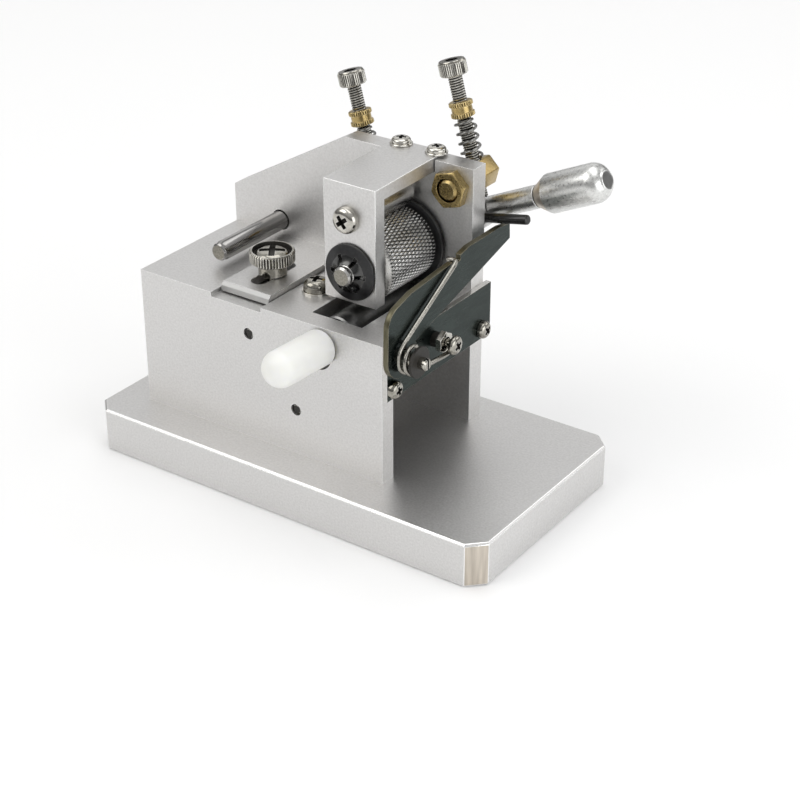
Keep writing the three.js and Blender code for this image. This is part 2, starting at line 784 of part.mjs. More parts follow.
// The slotted plate that keeps the strip's front edge straight; its rear lip stands over the strip.
function makeStripGuide() {
  const bottom = deckTop - guideRecess + 0.3;
  const step = 0.25;
  const bevel = 0.7;
  const profile = [
    [guideFront, bottom],
    [guideStepY, bottom],
    [guideStepY, guideTop - step - guideLip + 0.2],
    [guideRear, guideTop - step - guideLip + 0.2],
    [guideRear, guideTop - step],
    [guideStepY, guideTop - step],
    [guideStepY, guideTop],
    [guideFront + bevel, guideTop],
    [guideFront, guideTop - bevel],
  ];
  const half = guideWidth / 2;
  const plate = plateX(profile, guideCentreX - half, guideCentreX + half);
  const slot = new THREE.ExtrudeGeometry(
    slotShape(guideSlotWidth / 2, guideSlotFront, guideSlotRear, guideCentreX),
    { depth: 10, bevelEnabled: false, curveSegments: 8 },
  );
  place('strip_guide', cut(plate, slot.translate(0, 0, bottom - 3)), aluminium);
}

function makeThumbscrew() {
  const neckBottom = 0;
  const rimBottom = neckBottom + thumbNeckHeight;
  const top = rimBottom + thumbRimHeight;
  const tip = deckUnder - 1 - (guideTop + 0.2);
  const dish = thumbHeadRadius * 0.76;
  const stem = turned([
    [0, tip],
    [thumbShankRadius - 0.3, tip],
    [thumbShankRadius, tip + 0.3],
    [thumbShankRadius, neckBottom],
    [thumbNeckRadius, neckBottom],
    [thumbNeckRadius, rimBottom + 0.5],
    [0, rimBottom + 0.5],
  ]);
  const rim = toothedDisc(thumbHeadRadius, 0.3, thumbTeeth, rimBottom, top);
  const hollow = turned([[0, top - 0.9], [dish - 0.6, top - 0.9], [dish, top + 0.1], [0, top + 0.1]], 32);
  const foot = dish * 0.66;
  const crown = turned([[0, top - 1], [foot, top - 1], [foot * 0.75, top - 0.35], [0, top - 0.1]], 32);
  const cross = screwDriverCross(dish * 1.5, top, thumbRimHeight * 0.5, thumbCrossWidth);
  const head = cut(join(stem, rim), hollow).add(toSolid(crown));
  const mesh = place('thumbscrew', cut(head, ...cross), steel);
  mesh.position.set(guideCentreX, thumbscrewY, guideTop + 0.2);
}

function makeTopScrew() {
  const washer = cylinderZ(topScrewHead + 0.1, 0, topWasherThickness, 0, 0);
  const bore = cylinderZ(screw3.shank + seatGap, -1, 2, 0, 0, smallSides);
  place('top_washer', cut(washer, bore), steel).position.set(topScrewX, topScrewY, deckTop);
  const screw = place('top_screw', panScrew({ ...screw3, head: topScrewHead }, topScrewLength), steel);
  screw.position.set(topScrewX, topScrewY, deckTop + topWasherThickness);
}

function makeFixedBlade() {
  const plate = block(bodyRight, fixedBladeOuter, bodyFront, fixedBladeRear, fixedBladeBottom, deckTop);
  const hole = (radius, y, z) => cylinderX(radius, bodyRight - 1, fixedBladeOuter + 1, y, z, smallSides);
  const tools = [
    hole(pivotRadius + seatGap, pivotY, pivotZ),
    hole(anchorRadius + seatGap, anchorY, anchorZ),
    hole(screw2.shank + seatGap, frontMiddle, bladeScrewZ),
    hole(screw2.shank + seatGap, rearMiddle, bladeScrewZ),
  ];
  place('fixed_blade', cut(plate, ...tools), darkSteel);
  for (const [name, y] of [['fixed_blade_screw_front', frontMiddle], ['fixed_blade_screw_rear', rearMiddle]]) {
    const screw = place(name, panScrew({ ...screw2, head: 1.85 }, fixedBladeThickness + screwDepth - 1), steel);
    screw.rotation.y = Math.PI / 2;
    screw.position.set(fixedBladeOuter, y, bladeScrewZ);
  }
}

// The screw that holds the spring's short leg, with its nut against the fixed blade.
function makeAnchorScrew() {
  const nutTop = anchorCollar + anchorNutHeight;
  const collar = cylinderZ(anchorNutFlats / 2 - 0.45, 0, anchorCollar + 0.5, 0, 0);
  const nut = hexagonBar(anchorNutFlats, anchorCollar, nutTop, false, true).add(toSolid(collar));
  const bore = cylinderZ(anchorRadius + seatGap, -1, nutTop + 1, 0, 0, smallSides);
  const nutMesh = place('anchor_nut', cut(nut, bore), steel);
  nutMesh.rotation.y = Math.PI / 2;
  nutMesh.position.set(fixedBladeOuter, anchorY, anchorZ);
  const head = { ...screw2, height: 1.3 };
  const screw = place('anchor_screw', panScrew(head, anchorBareShank + nutTop + fixedBladeThickness), steel);
  screw.rotation.y = Math.PI / 2;
  screw.position.set(anchorHeadX, anchorY, anchorZ);
}

function bladeOutline() {
  const shape = new THREE.Shape();
  const edge = radians(bladeEdgeAngle);
  const roundLeft = bladeRoundY - bladeRoundRadius;
  const tailTop = bladeTailZ + bladeTailHeight;
  const [shoulderZ, crownY, crownZ] = [7.6, -1.1, 11.1];
  const risePerLength = (tailTop + 0.7 - crownZ - 0.8) / (bladeTailY - crownY);
  const topAt = (y) => crownZ + 0.8 + risePerLength * (y - crownY);
  const notchFar = bladeNotchY + bladeNotchWidth;
  shape.moveTo(bladeTailY, bladeTailZ);
  shape.lineTo(bladeRoundY + bladeRoundRadius * Math.cos(edge), bladeRoundZ + bladeRoundRadius * Math.sin(edge));
  shape.absarc(bladeRoundY, bladeRoundZ, bladeRoundRadius, edge, -Math.PI, true);
  shape.lineTo(roundLeft + 0.2, shoulderZ);
  shape.quadraticCurveTo(roundLeft + 0.7, crownZ - 0.6, crownY, crownZ);
  shape.lineTo(crownY + 3.9, topAt(crownY + 3.9));
  shape.lineTo(bladeNotchY, topAt(bladeNotchY));
  shape.lineTo(bladeNotchY, bladeNotchZ);
  shape.lineTo(notchFar, bladeNotchZ);
  shape.lineTo(notchFar, topAt(notchFar) + 0.4);
  shape.lineTo(notchFar + 2.8, tailTop + 0.4);
  shape.lineTo(bladeTailY - 4, tailTop + 0.5);
  shape.lineTo(bladeTailY - 0.2, tailTop);
  return shape;
}

function makeMovingBlade(group) {
  const plate = plateX(bladeOutline(), movingBladeInner, movingBladeOuter, 16);
  const hole = cylinderX(pivotRadius + seatGap, movingBladeInner - 1, movingBladeOuter + 1, 0, 0, smallSides);
  place('moving_blade', cut(plate, hole), darkSteel, group);
}

// The stud that the blade and its spring turn on, with a disc over the coil and a slotted end.
function makePivotStud() {
  const [inner, outer] = [-pivotDepth, pivotReach];
  const discInner = bladeCoilX + bladeCoilPitch * bladeCoilTurns + bladeWire / 2 + seatGap - bodyRight;
  const discOuter = discInner + pivotDiscThickness;
  const stud = turned([
    [0, inner],
    [pivotRadius, inner],
    [pivotRadius, discInner],
    [pivotDiscRadius, discInner],
    [pivotDiscRadius, discOuter],
    [pivotTipRadius, discOuter],
    [pivotTipRadius, outer - 0.25],
    [pivotTipRadius - 0.25, outer],
    [0, outer],
  ]);
  const slot = block(-2, 2, -0.25, 0.25, outer - 0.7, outer + 1);
  const mesh = place('pivot_stud', cut(stud, slot), steel);
  mesh.rotation.y = Math.PI / 2;
  mesh.position.set(bodyRight, pivotY, pivotZ);
}

// One wire: a hook in the blade's notch, the long leg, the coil on the stud and a leg under the anchor's head.
function makeBladeSpring() {
  const r = bladeCoilRadius;
  const half = bladeWire / 2;
  const coilX = bladeCoilX;
  const hookY = pivotY + bladeNotchY + half + 0.25;
  const hookZ = pivotZ + bladeNotchZ + half + 0.3;
  const slope = radians(bladeLegAngle);
  const legEndY = hookY - 1.5 * bladeWire;
  const legEndZ = hookZ - 0.45;
  const bendY = pivotY - r * 0.9;
  const bendZ = legEndZ - (legEndY - bendY) * Math.tan(slope);
  const points = [
    new THREE.Vector3(movingBladeInner - 0.45, hookY, hookZ - 0.2),
    new THREE.Vector3(movingBladeInner - 0.1, hookY, hookZ),
    new THREE.Vector3(coilX - 0.75, hookY, hookZ),
    new THREE.Vector3(coilX - 0.35, hookY - 0.35, hookZ - 0.05),
    new THREE.Vector3(coilX - 0.1, legEndY, legEndZ),
    new THREE.Vector3(coilX, bendY + 1.2, bendZ + 1.2 * Math.tan(slope)),
    new THREE.Vector3(coilX, bendY + 0.3, bendZ - 0.15),
    new THREE.Vector3(coilX, bendY - 0.2, bendZ - 0.9),
  ];
  const steps = Math.round(bladeCoilTurns * springSteps * 1.5);
  for (let i = 0; i <= steps; i++) {
    const turn = bladeCoilTurns * 2 * Math.PI * i / steps;
    const angle = Math.PI + turn;
    const x = coilX + bladeCoilPitch * turn / (2 * Math.PI);
    points.push(new THREE.Vector3(x, pivotY + r * Math.cos(angle), pivotZ + r * Math.sin(angle)));
  }
  const last = points[points.length - 1];
  const hookX = anchorHeadX - anchorBareShank / 2;
  const under = anchorZ - anchorRadius - half - 0.3;
  points.push(new THREE.Vector3(last.x - 0.2, last.y + 2.5, last.z + 0.1));
  points.push(new THREE.Vector3(hookX, anchorY - 2.4, under - 0.1));
  points.push(new THREE.Vector3(hookX, anchorY, under));
  points.push(new THREE.Vector3(hookX, anchorY + 1.1, under + 0.5));
  points.push(new THREE.Vector3(hookX, anchorY + 1.7, under + 1.5));
  reportWireGap('blade_spring', points, bladeWire, 8);
  place('blade_spring', wire(points, half, 6), steel);
}

// One stop: a hexagon post through the rear plate, its nut, and the sprung screw through the post.
function makeStop([side, x, z]) {
  const group = new THREE.Group();
  group.position.set(x, 0, z);
  group.rotation.y = -radians(stopTilt);
  part.add(group);

  const nutFront = rearFront - postNutHeight;
  const bar = hexagonBar(postFlats, rearBack, rearBack + postLength, false, true);
  const stud = turned([
    [0, nutFront - postStudStand],
    [postStudRadius - 0.5, nutFront - postStudStand],
    [postStudRadius, nutFront - postStudStand + 0.5],
    [postStudRadius, rearBack + 1],
    [0, rearBack + 1],
  ]);
  const across = cylinderY(stopScrewRadius + seatGap, -postFlats, postFlats, 0, stopScrewY, smallSides);
  const post = cut(bar.add(toSolid(stud)), across);
  place(`stop_post_${side}`, post, brass, group).rotation.x = -Math.PI / 2;

  const nut = cut(
    hexagonBar(postNutFlats, nutFront, rearFront, true, false),
    cylinderZ(postStudRadius + seatGap, nutFront - 1, rearFront + 1, 0, 0),
  );
  place(`stop_nut_${side}`, nut, brass, group).rotation.x = -Math.PI / 2;

  const headUnder = stopHeadTop - stopHeadHeight;
  const screw = turned([
    [0, stopScrewTip],
    [stopScrewRadius - 0.3, stopScrewTip],
    [stopScrewRadius, stopScrewTip + 0.3],
    [stopScrewRadius, headUnder],
    [stopHeadRadius, headUnder],
    [stopHeadRadius, stopHeadTop - 0.3],
    [stopHeadRadius - 0.3, stopHeadTop],
    [0, stopHeadTop],
  ]);
  const socket = new THREE.CylinderGeometry(1.45, 1.45, 3.2, 6).rotateX(Math.PI / 2).translate(0, 0, stopHeadTop);
  place(`stop_screw_${side}`, cut(screw, socket), steel, group).position.y = stopScrewY;

  const insertBottom = insertTop - insertLength;
  const band = insertLength * 0.3;
  const insert = cut(
    join(
      toothedDisc(insertRadius, 0.2, insertTeeth, insertBottom, insertBottom + band),
      toothedDisc(insertRadius, 0.2, insertTeeth, insertTop - band, insertTop),
      cylinderZ(insertRadius - 0.35, insertBottom + 0.1, insertTop - 0.1, 0, 0),
    ),
    cylinderZ(stopScrewRadius + seatGap, insertBottom - 1, insertTop + 1, 0, 0),
  );
  place(`stop_insert_${side}`, insert, brass, group).position.y = stopScrewY;

  const low = postFlats / 2 + 0.3 + stopWire / 2;
  const high = insertBottom - 0.3 - stopWire / 2;
  const points = [];
  for (let i = 0; i <= stopCoilTurns * springSteps; i++) {
    const angle = i / springSteps * 2 * Math.PI;
    const height = low + (high - low) * i / (stopCoilTurns * springSteps);
    points.push(new THREE.Vector3(stopCoilRadius * Math.cos(angle), stopCoilRadius * Math.sin(angle), height));
  }
  reportWireGap(`stop_spring_${side}`, points, stopWire, springSteps / 2);
  place(`stop_spring_${side}`, wire(points, stopWire / 2), steel, group).position.y = stopScrewY;
}

// Hub and rocker in one piece, drawn with the lever's own direction as X.
function makeRocker(group) {
  const rear = rockerFront + rockerThickness;
  const right = new THREE.Shape();
  const nose = 1.2;
  right.moveTo(0, -rockerRightHalf);
  right.lineTo(rockerRight - nose, -rockerRightHalf);
  right.quadraticCurveTo(rockerRight, -rockerRightHalf, rockerRight, -rockerRightHalf + nose);
  right.lineTo(rockerRight, rockerHalf);
  right.lineTo(-rockerLeft + 1, rockerHalf);
  right.lineTo(-rockerLeft, rockerHalf - 1);
  right.lineTo(-rockerLeft, -rockerHalf + 1);
  right.lineTo(-rockerLeft + 1, -rockerHalf);
  right.lineTo(-hubRadius + 1, -rockerHalf);
  const pinHole = cylinderX(strikerRadius + seatGap, strikerInner - 0.3, strikerOuter + 5, strikerY, 0, smallSides);
  pinHole.rotateY(radians(leverAngle - strikerAngle));
  pinHole.translate(strikerLocal.x, 0, strikerLocal.z);
  const rocker = cut(
    join(
      plateY(right, rockerFront, rear, 6),
      cylinderY(hubRadius, rockerFront, hubRear, 0, 0, 40),
      cylinderY(returnPinRadius, rear - 1, returnY + 2.4, -returnPinOut, 0, smallSides),
    ),
    cylinderY(clutchRadius + seatGap, rockerFront - 1, hubRear + 1, 0, 0),
    cylinderX(spigotRadius + seatGap, clutchRadius, hubRadius + 1, leverY, 0, smallSides),
    cylinderX(rodRadius + seatGap, hubRadius, rockerRight + 1, leverY, 0),
    pinHole,
  );
  place('rocker_hub', rocker, aluminium, group);

  const clutchFront = (rockerFront + hubRear - clutchLength) / 2;
  const clutch = cut(
    cylinderY(clutchRadius, clutchFront, clutchFront + clutchLength, 0, 0),
    cylinderY(shaftRadius + seatGap, clutchFront - 1, hubRear + 1, 0, 0),
  );
  place('clutch_bearing', clutch, steel, group);
}

const strikerLocal = new THREE.Vector3(strikerX, 0, strikerZ)
  .applyAxisAngle(new THREE.Vector3(0, 1, 0), radians(leverAngle));

function makeLever(group) {
  const start = clutchRadius + seatGap + 0.5;
  const shoulder = hubRadius + runGap;
  const rod = turned([
    [0, start],
    [spigotRadius, start],
    [spigotRadius, shoulder],
    [rodRadius, shoulder],
    [rodRadius, rodEnd],
    [spigotRadius, rodEnd],
    [spigotRadius, rodEnd + spigotLength],
    [0, rodEnd + spigotLength],
  ]);
  const rodMesh = place('lever_rod', rod, steel, group);
  rodMesh.rotation.y = Math.PI / 2;
  rodMesh.position.y = leverY;

  const gripStart = rodEnd + runGap;
  const profile = [[0, gripStart], [rodRadius + 0.2, gripStart], [gripRadius - 0.2, gripStart + gripShoulder]];
  profile.push([gripRadius, gripStart + gripShoulder + 0.6]);
  for (let i = 0; i <= 6; i++) {
    const angle = i / 6 * Math.PI / 2;
    profile.push([gripRadius * Math.cos(angle) ** 0.8, gripEnd - gripDome + gripDome * Math.sin(angle)]);
  }
  profile[profile.length - 1][0] = 0;
  const socket = cylinderZ(spigotRadius + seatGap, gripStart - 1, rodEnd + spigotLength + 0.5, 0, 0);
  const gripMesh = place('lever_grip', cut(turned(profile, 26), socket), aluminium, group);
  gripMesh.rotation.y = Math.PI / 2;
  gripMesh.position.y = leverY;
}

// The black pin that presses the blade's tail down.
function makeStrikerPin(group) {
  const pin = turned([
    [0, strikerInner],
    [strikerRadius, strikerInner],
    [strikerRadius, strikerOuter - 0.6],
    [strikerRadius * 0.75, strikerOuter - 0.15],
    [0, strikerOuter],
  ]);
  const mesh = place('striker_pin', pin, blackSteel, group);
  mesh.rotation.y = Math.PI / 2 + radians(leverAngle - strikerAngle);
  mesh.position.set(strikerLocal.x, strikerY, strikerLocal.z);
}

// Tension spring from the rocker's left end to a peg in the rear plate.
function makeReturnSpring() {
  const peg = place('return_spring_peg', cylinderY(returnPegRadius, rearFront + 0.3, returnY + 2.4, 0, 0), steel);
  peg.position.set(returnX, 0, returnPegZ);
  const topPinZ = rollerZ - returnPinOut * Math.sin(radians(leverAngle));
  const lowHook = returnPegRadius + returnWire / 2 + 0.3;
  const highHook = returnPinRadius + returnWire / 2 + 0.3;
  const coilHeight = returnCoilPitch * returnCoilTurns;
  const coilLow = (returnPegZ + topPinZ - coilHeight) / 2;
  const points = [];
  for (let i = 0; i <= 8; i++) {
    const angle = radians(130 + 250 / 8 * i);
    points.push(new THREE.Vector3(returnX + lowHook * Math.cos(angle), returnY, returnPegZ + lowHook * Math.sin(angle)));
  }
  for (let i = 0; i <= returnCoilTurns * springSteps; i++) {
    const angle = i / springSteps * 2 * Math.PI;
    points.push(new THREE.Vector3(
      returnX + returnCoilRadius * Math.cos(angle),
      returnY + returnCoilRadius * Math.sin(angle),
      coilLow + returnCoilPitch * i / springSteps,
    ));
  }
  for (let i = 0; i <= 8; i++) {
    const angle = radians(-20 + 250 / 8 * i);
    points.push(new THREE.Vector3(returnX + highHook * Math.cos(angle), returnY, topPinZ + highHook * Math.sin(angle)));
  }
  reportWireGap('return_spring', points, returnWire, springSteps / 2);
  place('return_spring', wire(points, returnWire / 2), steel);
}

// A fork that carries the pinch roller's axle and swings on the pivot pin.
function makeReleaseArm(group) {
  const [dx, dz] = [pinchX - armPivotX, pinchZ - armPivotZ];
  const slope = Math.atan2(dz, dx);
  const outline = new THREE.Shape();
  outline.absarc(0, 0, armPivotRadius, slope + Math.PI / 2, slope - Math.PI / 2, false);
  outline.absarc(dx, dz, armEndRadius, slope - Math.PI / 2, slope + Math.PI / 2 + 0.35, false);
  outline.lineTo(dx - armEndRadius - 1.2, dz - 0.4);
  const web = block(
    armWebLeft - armPivotX,
    armWebLeft - armPivotX + armWebWidth,
    armFront,
    armRear,
    -armWebHeight / 2 + 0.6,
    armWebHeight / 2 + 0.3,
  );
  const arms = join(plateY(outline, armFront, armFront + armThickness), plateY(outline, armRear - armThickness, armRear), web);
  const webLeft = armWebLeft - armPivotX;
  const tools = [
    block(webLeft - 1, webLeft + armWebWidth + 1, releaseLegY - 0.8, releaseLegY + 0.8, -armWebHeight, 0.8),
    cylinderY(armPinRadius + seatGap, armFront - 1, armRear + 1, 0, 0, smallSides),
    cylinderY(pinchAxleRadius + seatGap, armFront - 1, armRear + 1, dx, dz, smallSides),
  ];
  place('release_arm', cut(arms, ...tools), steel, group);

  const axleFront = bodyFront - 9;
  place('pinch_axle', cylinderY(pinchAxleRadius, axleFront, armRear + 0.3, dx, dz), steel, group);

  const rollerGap = armThickness + runGap;
  const cap = [];
  cap.push([0, 0], [capRadius - 0.3, 0], [capRadius, 0.3]);
  const dome = capRadius * 0.92;
  for (let i = 0; i <= 6; i++) {
    const angle = i / 6 * Math.PI / 2;
    cap.push([capRadius * Math.cos(angle), capLength - dome + dome * Math.sin(angle)]);
  }
  cap[cap.length - 1][0] = 0;
  const capBody = turned(cap, 26).rotateX(Math.PI / 2 - radians(capLean));
  capBody.translate(dx + capShift, bodyFront - 0.4, dz + capRise);
  const bore = cylinderY(pinchAxleRadius + seatGap, bodyFront - capBoreDepth, bodyFront + 1, dx, dz);
  place('release_cap', cut(capBody, bore), whiteVinyl, group);

  return rollerGap;
}

function makePinchRoller(group, sideGap) {
  const [front, rear] = [armFront + sideGap, armRear - sideGap];
  const [r, c] = [pinchRadius, 0.4];
  const drum = turned([[0, front], [r - c, front], [r, front + c], [r, rear - c], [r - c, rear], [0, rear]], 36);
  const bore = cylinderZ(pinchAxleRadius + seatGap, front - 1, rear + 1, 0, 0);
  place('pinch_roller', cut(drum, bore), steel, group).rotation.x = -Math.PI / 2;
}

function makeReleasePins() {
  const rear = rearFront + 2.2;
  const pivot = cylinderY(armPinRadius, bodyFront + pinRecess, rear, armPivotX, armPivotZ, smallSides);
  const anchor = cylinderY(armPinRadius, bodyFront + pinRecess, rear, anchorPinX, anchorPinZ, smallSides);
  place('release_pivot_pin', pivot, steel);
  place('spring_anchor_pin', anchor, steel);
}

// Torsion spring: one leg lifts the arm's web and the other bears on the anchor pin.
function makeReleaseSpring() {
  const r = releaseCoilRadius;
  const steps = Math.round(releaseSweep / (2 * Math.PI) * springSteps);
  const points = [new THREE.Vector3(armPivotX + releaseLegLength, releaseY, armPivotZ - r)];
  for (let i = 0; i <= steps; i++) {
    const turn = releaseSweep * i / steps;
    const angle = -Math.PI / 2 - turn;
    const y = releaseY + releaseCoilPitch * turn / (2 * Math.PI);
    points.push(new THREE.Vector3(armPivotX + r * Math.cos(angle), y, armPivotZ + r * Math.sin(angle)));
  }
  const last = points[points.length - 1];
  const away = new THREE.Vector3(Math.sin(releaseLeave), 0, -Math.cos(releaseLeave));
  points.push(last.clone().addScaledVector(away, releaseReach / 2));
  points.push(last.clone().addScaledVector(away, releaseReach + 1));
  reportWireGap('release_spring', points, releaseWire, springSteps / 2);
  place('release_spring', wire(points, releaseWire / 2), steel);
}

function buildPart() {
  makeBasePlate();
  makeBaseScrews();
  makeBodyBlock();
  makeRearPlate();
  makeRearPlateScrews();
  makeRollerBracket();
  makeSpacerPost();
  makeBushes();
  makeGuidePin();
  makeStripGuide();
  makeThumbscrew();
  makeTopScrew();
  makeFixedBlade();
  makeAnchorScrew();
  makePivotStud();
  makeBladeSpring();
  stopPlaces.forEach(makeStop);
  makeReturnSpring();
  makeReleasePins();
  makeReleaseSpring();

  const rollerGroup = new THREE.Group();
  rollerGroup.position.set(rollerX, 0, rollerZ);
  rollerGroup.rotation.x = -Math.PI / 2;
  part.add(rollerGroup);
  makeFeedRoller(rollerGroup);
  makeRetainerClip(rollerGroup);

  const leverGroup = new THREE.Group();
  leverGroup.position.set(rollerX, 0, rollerZ);
  leverGroup.rotation.y = -radians(leverAngle);
  part.add(leverGroup);
  makeRocker(leverGroup);
  makeLever(leverGroup);
  makeStrikerPin(leverGroup);

  const bladeGroup = new THREE.Group();
  bladeGroup.position.set(0, pivotY, pivotZ);
  part.add(bladeGroup);
  makeMovingBlade(bladeGroup);

  const armGroup = new THREE.Group();
  armGroup.position.set(armPivotX, 0, armPivotZ);
  part.add(armGroup);
  const sideGap = makeReleaseArm(armGroup);
  const pinchGroup = new THREE.Group();
  pinchGroup.position.set(pinchX, 0, pinchZ);
  part.add(pinchGroup);
  makePinchRoller(pinchGroup, sideGap);
}

buildPart();

export default part;
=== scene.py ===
# Hand paper fringer: looks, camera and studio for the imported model.
# Lengths are typed in millimetres and each mesh is made metres as its last step.
import bpy
import bmesh
import json
from math import acos, atan2, cos, hypot, pi, radians, sin, sqrt, tan
from mathutils import Matrix, Vector


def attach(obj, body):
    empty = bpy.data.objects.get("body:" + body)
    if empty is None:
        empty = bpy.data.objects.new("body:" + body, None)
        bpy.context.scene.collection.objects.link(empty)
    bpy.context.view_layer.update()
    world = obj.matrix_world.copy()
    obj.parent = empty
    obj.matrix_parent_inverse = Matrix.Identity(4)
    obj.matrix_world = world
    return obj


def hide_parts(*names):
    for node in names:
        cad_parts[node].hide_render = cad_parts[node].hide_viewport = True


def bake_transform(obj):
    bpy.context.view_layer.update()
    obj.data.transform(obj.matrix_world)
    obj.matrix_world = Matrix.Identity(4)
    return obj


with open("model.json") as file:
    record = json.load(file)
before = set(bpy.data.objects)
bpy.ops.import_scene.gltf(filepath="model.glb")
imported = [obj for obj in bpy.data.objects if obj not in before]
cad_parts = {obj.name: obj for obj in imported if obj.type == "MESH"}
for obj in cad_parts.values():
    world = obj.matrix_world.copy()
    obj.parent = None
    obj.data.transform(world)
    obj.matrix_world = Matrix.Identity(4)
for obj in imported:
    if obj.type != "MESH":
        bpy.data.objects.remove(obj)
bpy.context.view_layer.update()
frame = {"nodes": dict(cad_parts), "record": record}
nodes = frame["nodes"]
record = frame["record"]
bodyOf = {node: body for body, names in record["behaviour"]["bodies"].items() for node in names}
slotOf = {part["node"]: part["material_slot"] for part in record["subparts"]}
metres = 0.001  # one millimetre in metres
print("frame loaded:", len(nodes), "nodes")

# Shared node groups


def startGroup(name, inputs, outputs):
    tree = bpy.data.node_groups.new(name, "ShaderNodeTree")
    for label, kind, value in inputs:
        socket = tree.interface.new_socket(label, in_out="INPUT", socket_type=kind)
        socket.default_value = value
    for label, kind in outputs:
        tree.interface.new_socket(label, in_out="OUTPUT", socket_type=kind)
    return tree, tree.nodes.new("NodeGroupInput"), tree.nodes.new("NodeGroupOutput")


def mathNode(tree, operation, first, second, clamp=False):
    node = tree.nodes.new("ShaderNodeMath")
    node.operation = operation
    node.use_clamp = clamp
    for socket, value in zip(node.inputs, (first, second)):
        if isinstance(value, (int, float)):
            socket.default_value = value
        else:
            tree.links.new(value, socket)
    return node.outputs[0]


def noiseNode(tree, detail, vector, scale):
    noise = tree.nodes.new("ShaderNodeTexNoise")
    noise.inputs["Detail"].default_value = detail
    tree.links.new(vector, noise.inputs["Vector"])
    tree.links.new(scale, noise.inputs["Scale"])
    return noise.outputs["Fac"]


def vectorNode(tree, operation, *values):
    node = tree.nodes.new("ShaderNodeVectorMath")
    node.operation = operation
    for socket, value in zip(node.inputs, values):
        tree.links.new(value, socket)
    return node


def grainGroup():  # tool marks: a stretched fine noise, and a broad cloud for uneven tone
    tree, start, end = startGroup(
        "toolGrain",
        [("Stretch", "NodeSocketVector", (1, 1, 1)), ("Scale", "NodeSocketFloat", 900),
         ("Cloud", "NodeSocketFloat", 60), ("Mix", "NodeSocketFloat", 0.4)],
        [("Height", "NodeSocketFloat"), ("Shade", "NodeSocketFloat")],
    )
    place = tree.nodes.new("ShaderNodeTexCoord").outputs["Object"]
    stretched = vectorNode(tree, "MULTIPLY", place, start.outputs["Stretch"])
    fine = noiseNode(tree, 4, stretched.outputs["Vector"], start.outputs["Scale"])
    broad = noiseNode(tree, 2, place, start.outputs["Cloud"])
    fineShare = mathNode(tree, "MULTIPLY", fine, start.outputs["Mix"])
    rest = mathNode(tree, "SUBTRACT", 1.0, start.outputs["Mix"])
    broadShare = mathNode(tree, "MULTIPLY", broad, rest)
    shade = mathNode(tree, "ADD", fineShare, broadShare)
    tree.links.new(fine, end.inputs["Height"])
    tree.links.new(shade, end.inputs["Shade"])
    return tree


rubbing = dict(radius=0.00022, samples=4, detail=3, patches=1.7)


def edgeGroup():  # where the surface turns sharply: rubbed edges
    tree, start, end = startGroup(
        "rubbedEdge",
        [("Amount", "NodeSocketFloat", 6), ("Break", "NodeSocketFloat", 700)],
        [("Mask", "NodeSocketFloat")],
    )
    rounded = tree.nodes.new("ShaderNodeBevel")
    rounded.samples = rubbing["samples"]
    rounded.inputs["Radius"].default_value = rubbing["radius"]
    flat = tree.nodes.new("ShaderNodeNewGeometry")
    compare = vectorNode(tree, "DOT_PRODUCT", rounded.outputs["Normal"], flat.outputs["Normal"])
    turned = mathNode(tree, "SUBTRACT", 1.0, compare.outputs["Value"])
    strong = mathNode(tree, "MULTIPLY", turned, start.outputs["Amount"], True)
    place = tree.nodes.new("ShaderNodeTexCoord").outputs["Object"]
    patch = noiseNode(tree, rubbing["detail"], place, start.outputs["Break"])
    broken = mathNode(tree, "MULTIPLY", patch, rubbing["patches"], True)
    mask = mathNode(tree, "MULTIPLY", strong, broken, True)
    tree.links.new(mask, end.inputs["Mask"])
    return tree


toolGrain = grainGroup()
rubbedEdge = edgeGroup()
print("node groups made")

# Finishes

roller = dict(x=4.9, z=46.8, radius=7.5, front=-2.0, rear=13.2, chamfer=0.5,
              pitch=0.76, length=2.3, depth=0.27, crest=1.25, aroundSteps=6, alongSteps=16)


def mixColour(tree, factor, first, second):
    node = tree.nodes.new("ShaderNodeMix")
    node.data_type = "RGBA"
    tree.links.new(factor, node.inputs["Factor"])
    for label, value in (("A", first), ("B", second)):
        socket = [s for s in node.inputs if s.name == label and s.type == "RGBA"][0]
        if isinstance(value, tuple):
            socket.default_value = (*value, 1)
        else:
            tree.links.new(value, socket)
    return [s for s in node.outputs if s.type == "RGBA"][0]


def rangeNode(tree, value, low, high, fromLow=0.3, fromHigh=0.7):
    node = tree.nodes.new("ShaderNodeMapRange")
    for label, bound in (("From Min", fromLow), ("From Max", fromHigh), ("To Min", low), ("To Max", high)):
        node.inputs[label].default_value = bound
    tree.links.new(value, node.inputs["Value"])
    return node.outputs["Result"]


def grooveShadeMask(tree, look):  # where the knurl's painted shade goes: 1 deep in the knurl and 0 on its crests, by distance from the shaft
    place = tree.nodes.new("ShaderNodeTexCoord")
    centre = tree.nodes.new("ShaderNodeMapping")
    centre.inputs["Scale"].default_value = (1, 0, 1)
    centre.inputs["Location"].default_value = (-roller["x"] * metres, 0, -roller["z"] * metres)
    tree.links.new(place.outputs["Object"], centre.inputs["Vector"])
    reach = vectorNode(tree, "LENGTH", centre.outputs["Vector"])
    low, high = look["grooveLow"] * metres, look["grooveHigh"] * metres
    return rangeNode(tree, reach.outputs["Value"], 1, 0, low, high)


plainLook = dict(  # what a finish has unless it says otherwise
    stretch=(1, 1, 1), scale=1500, cloud=200, fineShare=0.5, bump=0.12, bumpDepth=0.00002,
    edgeAmount=5, metal=1.0, shader={},
)


